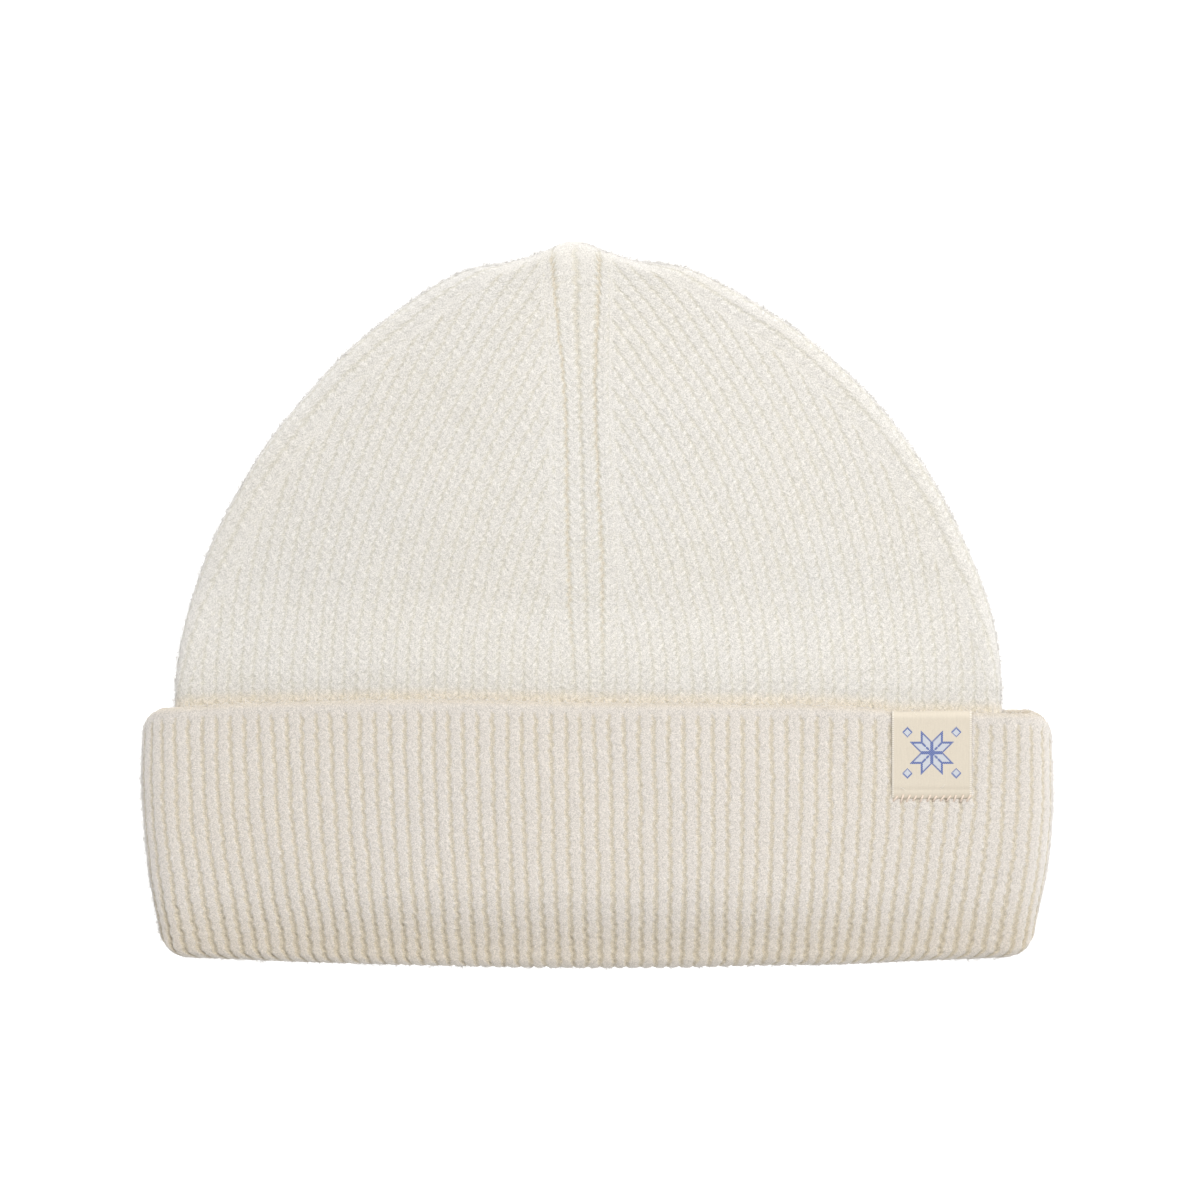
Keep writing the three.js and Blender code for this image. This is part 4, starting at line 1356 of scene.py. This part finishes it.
def label_material(settings):
    """Finely woven cream satin with lighter dotted selvedges and the woven pattern."""
    material, tree, shader = material_nodes("woven label")
    calc = calculator(tree)
    u, v = own_map(tree)
    stretched = add_node(tree, "ShaderNodeCombineXYZ", {
        0: calc("MULTIPLY", u, WARP_SCALES[0]), 1: calc("MULTIPLY", v, WARP_SCALES[1])})
    warp = noise_value(tree, stretched.outputs[0], 1.0, WARP_DETAIL)
    slub = noise_value(tree, object_place(tree), SLUB_SCALE)
    weave = calc("MULTIPLY", calc("SINE", calc("MULTIPLY", u, THREADS_ACROSS)),
                 calc("SINE", calc("MULTIPLY", v, THREADS_ALONG)))
    edge = calc("GREATER_THAN", calc("ABSOLUTE", u), LABEL_WIDTH / 2 - SELVEDGE)
    beat = calc("SINE", calc("MULTIPLY", v, SELVEDGE_BEAT))
    dots = calc("MULTIPLY", edge, calc("GREATER_THAN", beat, SELVEDGE_DOTS))
    pattern = add_node(tree, "ShaderNodeGroup", node_tree=pattern_group())
    color = with_alpha(settings.ground_color)
    for mask, over in ((dots, settings.selvedge_color),
                       (pattern.outputs["Fill"], settings.fill_color),
                       (pattern.outputs["Outline"], settings.outline_color)):
        color = mix_color(tree, mask, color, with_alpha(over))
    plain, of_warp, of_slub = WEAVE_SHADE
    shade = calc("ADD", plain, calc("ADD", calc("MULTIPLY", warp, of_warp),
                                    calc("MULTIPLY", slub, of_slub)))
    of_weave, of_dots = WEAVE_HEIGHTS
    height = calc("ADD", calc("MULTIPLY", weave, of_weave),
                  calc("ADD", warp, calc("MULTIPLY", dots, of_dots)))
    set_inputs(tree, shader, {
        "Base Color": times(tree, color, shade),
        "Normal": bump(tree, height, *WEAVE_BUMP),
        **LABEL_FINISH,
    })
    return material


def thread_material(settings):
    """Spun sewing thread: painted shade between the plies that turn round it, from its own map."""
    material, tree, shader = material_nodes("sewing thread")
    calc = calculator(tree)
    turned, along = own_map(tree)
    twist = calc("ADD", calc("MULTIPLY", turned, THREAD_TWIST[0]),
                 calc("MULTIPLY", along, THREAD_TWIST[1]))
    ply = calc("MULTIPLY_ADD", calc("SINE", calc("MULTIPLY", twist, 2 * np.pi)), 0.5, 0.5)
    # painted shade between the plies
    shaded_ply = tuple(PLY_PAINTED_SHADE * value for value in settings.thread_color)
    set_inputs(tree, shader, {
        "Base Color": mix_color(
            tree, ply, with_alpha(shaded_ply), with_alpha(settings.thread_color)),
        "Normal": bump(tree, ply, THREAD_BUMP),
        **THREAD_FINISH,
    })
    return material


def thinned(inside, edge):
    """How thick the label still is so far inside an edge: a share that rises along a quarter
    circle over the edge's length, and is never less than the root of its least square."""
    length, least = edge
    return np.sqrt(np.maximum(least, 1 - np.clip(1 - inside / length, 0, 1) ** 2))


class WATCHCAP_OT_weave_label(bpy.types.Operator):
    """Weave the label, fold it over the cuff's free edge and sew it on"""

    bl_idname = "watch_cap.weave_label"
    bl_label = "Weave the label"

    def execute(self, context):
        """Two faces of the strip, half its thickness to each side of its middle, joined to one
        closed section in each row. The middle waves with the slack and is pressed in at the
        sewn end, the hem is a dent across the outer face, and the selvedges rise on it."""
        settings = context.scene.watch_cap_label
        y, turn, distance = label_path()
        half = LABEL_WIDTH / 2
        u = half * np.sin(np.linspace(-np.pi / 2, np.pi / 2, LABEL_COLUMNS + 1))
        u = mix(u, np.linspace(-half, half, LABEL_COLUMNS + 1), EVEN_COLUMNS)
        thin = thinned(half - np.abs(u), LABEL_EDGE)
        wide, long = SLACK_WAVES
        slack = LABEL_SLACK * lattice_noise(
            u[None, :] / wide + SLACK_FROM, distance[:, None] / long, SEEDS["slack"])
        pressed, pressed_over = PRESSED_END
        pressed = pressed * (1 - smooth_step(0, pressed_over, distance))[:, None]
        hem = HEM_DEPTH * smooth_step(*HEM_STARTS, distance)
        hem = hem * (1 - smooth_step(*HEM_ENDS, distance))
        bead = BEAD_HEIGHT * smooth_step(*(half - place for place in BEAD), np.abs(u))[None, :]
        middle = LABEL_LIFT + LABEL_WEAVE_THICKNESS / 2 + slack - pressed
        length, least = LABEL_END
        ends = np.minimum(1, np.sqrt(np.minimum(distance, distance[::-1]) / length + least))
        thickness = LABEL_WEAVE_THICKNESS / 2 * thin[None, :] * ends[:, None]
        x = LABEL_MIDDLE_X + u[None, :]
        level, turned = y[:, None], turn[:, None]
        outer = label_points(x, level, turned, middle + thickness + bead - hem[:, None])
        inner = label_points(x, level, turned, middle - thickness)
        section = np.concatenate([outer, inner[:, ::-1]], 1)
        rows, count = section.shape[:2]
        ring = np.append(np.arange(count), 0)
        index = np.arange(rows * count).reshape(rows, count)[:, ring]
        a, b, c, d = index[:-1, :-1], index[:-1, 1:], index[1:, 1:], index[1:, :-1]
        walls = np.stack([a, b, c, d], 2).reshape(-1, 4)
        width = LABEL_COLUMNS + 1
        near, far = index[0, :-1], index[-1, :-1]
        faces = lambda end: np.stack([
            end[:width - 1], end[count - 1:width:-1], end[count - 2:width - 1:-1],
            end[1:width]], 1)
        quads = np.concatenate([walls, faces(near), faces(far)[:, ::-1]])
        points = section.reshape(-1, 3)
        label = add_mesh("label_strip", points, *facing_out(points, quads, NO_TRIANGLES))
        u_map = np.repeat(np.concatenate([u, u[::-1]])[None, :], rows, 0)
        v_map = np.repeat(distance[:, None], count, 1)
        add_uv(label, u_map, v_map)
        finish_piece(label, label_material(settings), "label")
        stitches = self.sew(settings)
        return {"FINISHED"}

    def sew(self, settings):
        """A row of slanting stitches over the label's lower end, as one piece.

        Each is a tube along a half ellipse that stands on the label and dips into the knit.
        """
        middles = LABEL_MIDDLE_X + LABEL_WIDTH * (np.arange(SEWN) + 0.5 - SEWN / 2) / SEWN
        rng = np.random.default_rng(SEEDS["sewing"])
        angle = np.linspace(0, np.pi, THREAD_STEPS)[None, :]
        lean, reach, stray = (rng.uniform(*spread, SEWN)[:, None]
                              for spread in (SEWN_LEANS, SEWN_REACHES, SEWN_STRAY))
        x = middles[:, None] + stray + lean * np.cos(angle)
        y = SEWN_END_Y + SEWN_UP + reach * np.cos(angle)
        height, more = SEWN_HEIGHT
        z = cuff_face("cuff_outer", x, y) - SEWN_SUNK
        z = z + (height + more * np.cos(angle)) * np.sin(angle)
        return tubes("label_stitches", np.stack([x, y, z], 2), THREAD_RADIUS,
                     thread_material(settings), "label")


def tube_faces(count, rings, sides):
    """Quads between the neighbouring rings of several tubes, and the triangles that close
    their ends."""
    ring = np.arange(sides)
    after = np.roll(ring, -1)
    base = (np.arange(count)[:, None] * rings + np.arange(rings - 1)).reshape(-1, 1) * sides
    walls = [base + ring, base + sides + ring, base + sides + after, base + after]
    first = np.arange(count)[:, None] * rings * sides
    last = first + (rings - 1) * sides
    fan = lambda start, one, two: np.stack(
        [start + 0 * one, start + one, start + two], 2).reshape(-1, 3)
    caps = [fan(first, ring[None, 1:-1], ring[None, 2:]),
            fan(last, ring[None, 2:], ring[None, 1:-1])]
    return np.stack(walls, 2).reshape(-1, 4), np.concatenate(caps)


def tubes(name, paths, radius, material, node):
    """Round tubes along paths of one length, closed at both ends, as one piece."""
    count, steps = paths.shape[:2]
    forward = np.gradient(paths, axis=1)
    forward = forward / np.linalg.norm(forward, axis=2, keepdims=True)
    side = np.cross(forward, TUBE_UPRIGHT)
    side = side / np.linalg.norm(side, axis=2, keepdims=True)
    up = np.cross(side, forward)
    angle = np.linspace(0, 2 * np.pi, THREAD_SIDES, endpoint=False)[:, None]
    circle = side[:, :, None] * np.cos(angle) + up[:, :, None] * np.sin(angle)
    points = (paths[:, :, None] + radius * circle).reshape(-1, 3)
    walls, caps = tube_faces(count, steps, THREAD_SIDES)
    piece = add_mesh(name, points, *facing_out(points, walls, caps))
    along = np.repeat(np.linspace(0, 1, steps), THREAD_SIDES)
    add_uv(piece, np.tile(angle[:, 0] / (2 * np.pi), count * steps), np.tile(along, count))
    return finish_piece(piece, material, node)


class WATCHCAP_OT_raise_hairs(bpy.types.Operator):
    """Raise loose wool hairs from the knit's outer faces"""

    bl_idname = "watch_cap.raise_hairs"
    bl_label = "Raise the hairs"

    def execute(self, context):
        """One material, and one piece for each skin."""
        settings = context.scene.watch_cap_knit
        material, tree, shader = material_nodes("loose wool")
        pale = tuple(mix(value, 1, HAIR_PALENESS) for value in settings.crown_color)
        patches = noise_value(tree, object_place(tree), HAIR_PATCHES)
        color = mix_color(tree, patches, with_alpha(settings.crown_color), with_alpha(pale))
        set_inputs(tree, shader, {"Base Color": color, **HAIR_FINISH})
        for seed, (name, skin) in enumerate(SKINS.items()):
            self.grow(f"hairs_{name}", skin, HAIRS[name], material, seed)
        return {"FINISHED"}

    def grow(self, name, skin, count, material, seed):
        """Tapering three-sided hairs, as one piece.

        A hair starts at a random place of the skin that is seen, by area, and RIM_SHARE of
        them on its steep sides. It leans over in a random direction along the cloth, and
        bends to one side: place = root + length (t lean + curl t^2 side + t height
        (1 - bend t) normal), for t from 0 to 1.
        """
        rng = np.random.default_rng(SEEDS["hairs"] + seed)
        points = skin["points"]
        across = np.roll(points, -1, 1) - points
        area = np.linalg.norm(np.cross(across, np.gradient(points, axis=0)), axis=2)
        area[:skin["seen"]] = 0
        area[-2:] = 0
        rim = area * (np.abs(skin["normals"][..., 2]) < RIM_NORMAL)
        chance = mix(area / area.sum(), rim / rim.sum(), RIM_SHARE)
        picked = rng.choice(area.size, count, p=chance.ravel() / chance.sum())
        row, column = np.unravel_index(picked, area.shape)
        root = points[row, column]
        normal = skin["normals"][row, column]
        random = rng.normal(size=(count, 3))
        lean = random - (random * normal).sum(1, keepdims=True) * normal
        lean = lean / np.linalg.norm(lean, axis=1, keepdims=True)
        length, height, bend, curl = (
            rng.uniform(*spread, count)[:, None]
            for spread in (HAIR_LENGTHS, HAIR_HEIGHTS, HAIR_BENDS, HAIR_CURLS))
        side = np.cross(lean, normal)
        angle = np.linspace(0, 2 * np.pi, HAIR_SIDES, endpoint=False)[:, None]
        circle = side[:, None] * np.cos(angle) + normal[:, None] * np.sin(angle)
        rings = []
        for t, radius in HAIR_PROFILE:
            middle = root - HAIR_ROOT * normal + length * (
                t * lean + curl * t**2 * side + t * height * (1 - bend * t) * normal)
            rings.append(middle[:, None] + radius * circle)
        hairs = np.stack(rings, 1)
        hairs = hairs[hairs[..., 2].min((1, 2)) > HAIRS_FROM_FLOOR]
        walls, caps = tube_faces(len(hairs), len(HAIR_PROFILE), HAIR_SIDES)
        hairs = hairs.reshape(-1, 3)
        piece = add_mesh(name, hairs, *facing_out(hairs, walls, caps))
        return finish_piece(piece, material, "knit_body")


class WATCHCAP_OT_set_stage(bpy.types.Operator):
    """Set the floor, the soft light and the camera"""

    bl_idname = "watch_cap.set_stage"
    bl_label = "Set the stage"

    def execute(self, context):
        """The camera looks straight down and frames PHOTO_WIDTH at the outline's level. The sky
        is sky (1 + direction . bright side + glow (1 - rise^2)^2), and the lamp faces the cap."""
        scene = context.scene
        settings = scene.watch_cap_stage
        camera = bpy.data.objects.new("camera", bpy.data.cameras.new("camera"))
        camera.data.lens = settings.lens
        camera.data.sensor_width = SENSOR_WIDTH
        distance = PHOTO_WIDTH * settings.lens / SENSOR_WIDTH
        camera.location = Vector((*PHOTO_CENTRE, OUTLINE_LEVEL + distance)) * MM
        camera.data.clip_start, camera.data.clip_end = CLIP
        scene.collection.objects.link(camera)
        scene.camera = camera

        floor_mesh = bpy.data.meshes.new("floor")
        corners = [(x * FLOOR_REACH, y * FLOOR_REACH, 0)
                   for x, y in ((-1, -1), (1, -1), (1, 1), (-1, 1))]
        floor_mesh.from_pydata(corners, [], [(0, 1, 2, 3)])
        floor = bpy.data.objects.new("floor", floor_mesh)
        scene.collection.objects.link(floor)
        material, tree, shader = material_nodes("floor")
        set_inputs(tree, shader, {
            "Base Color": with_alpha(settings.floor_color),
            "Emission Color": WHITE,
            "Emission Strength": settings.floor_glow,
            **FLOOR_FINISH,
        })
        floor_mesh.materials.append(material)

        world = bpy.data.worlds.new("studio")
        world.use_nodes = True
        tree = world.node_tree
        calc = calculator(tree)
        direction = add_node(tree, "ShaderNodeTexCoord").outputs["Generated"]
        facing = add_node(tree, "ShaderNodeVectorMath", {
            0: direction, 1: SKY_BRIGHT_SIDE}, operation="DOT_PRODUCT").outputs["Value"]
        rise = add_node(tree, "ShaderNodeSeparateXYZ", {"Vector": direction}).outputs[2]
        level = calc("SUBTRACT", 1.0, calc("MULTIPLY", rise, rise))
        glow = calc("MULTIPLY", calc("MULTIPLY", level, level), HORIZON_GLOW)
        strength = calc("MULTIPLY", calc("ADD", glow, calc("ADD", facing, 1.0)), settings.sky)
        set_inputs(tree, tree.nodes["Background"], {"Color": WHITE, "Strength": strength})
        scene.world = world

        key = bpy.data.lights.new("key light", "AREA")
        key.shape = "DISK"
        key.size = KEY_SIZE
        key.energy = settings.key_power
        key.color = KEY_COLOR
        lamp = bpy.data.objects.new("key light", key)
        lamp.location = KEY_PLACE
        lamp.rotation_mode = "QUATERNION"
        lamp.rotation_quaternion = (-Vector(lamp.location)).to_track_quat("-Z", "Y")
        scene.collection.objects.link(lamp)
        scene.view_settings.view_transform = "Standard"
        return {"FINISHED"}


class WATCHCAP_PT_panel(bpy.types.Panel):
    """Lists the steps that make the cap."""

    bl_label = "Watch Cap"
    bl_idname = "WATCHCAP_PT_panel"
    bl_space_type = "VIEW_3D"
    bl_region_type = "UI"
    bl_category = "Watch Cap"

    def draw(self, context):
        """A box with each group's values, and a button for each step."""
        for group in (context.scene.watch_cap_knit, context.scene.watch_cap_label,
                      context.scene.watch_cap_stage):
            box = self.layout.box()
            for name in group.__annotations__:
                box.prop(group, name)
        for operator in STEPS:
            self.layout.operator(operator.bl_idname)


STEPS = (
    WATCHCAP_OT_set_stage,
    WATCHCAP_OT_knit_crown,
    WATCHCAP_OT_knit_cuff,
    WATCHCAP_OT_knit_inside,
    WATCHCAP_OT_weave_label,
    WATCHCAP_OT_raise_hairs,
)
CLASSES = (KnitSettings, LabelSettings, StageSettings, *STEPS, WATCHCAP_PT_panel)


def register():
    """Makes the classes and the scene's settings known."""
    for cls in CLASSES:
        bpy.utils.register_class(cls)
    bpy.types.Scene.watch_cap_knit = PointerProperty(type=KnitSettings)
    bpy.types.Scene.watch_cap_label = PointerProperty(type=LabelSettings)
    bpy.types.Scene.watch_cap_stage = PointerProperty(type=StageSettings)


def unregister():
    """Takes them away again."""
    del bpy.types.Scene.watch_cap_stage
    del bpy.types.Scene.watch_cap_label
    del bpy.types.Scene.watch_cap_knit
    for cls in reversed(CLASSES):
        bpy.utils.unregister_class(cls)


def main():
    register()
    bpy.ops.watch_cap.set_stage()
    bpy.ops.watch_cap.knit_crown()
    bpy.ops.watch_cap.knit_cuff()
    bpy.ops.watch_cap.knit_inside()
    bpy.ops.watch_cap.weave_label()
    bpy.ops.watch_cap.raise_hairs()


if __name__ == "__main__":
    main()
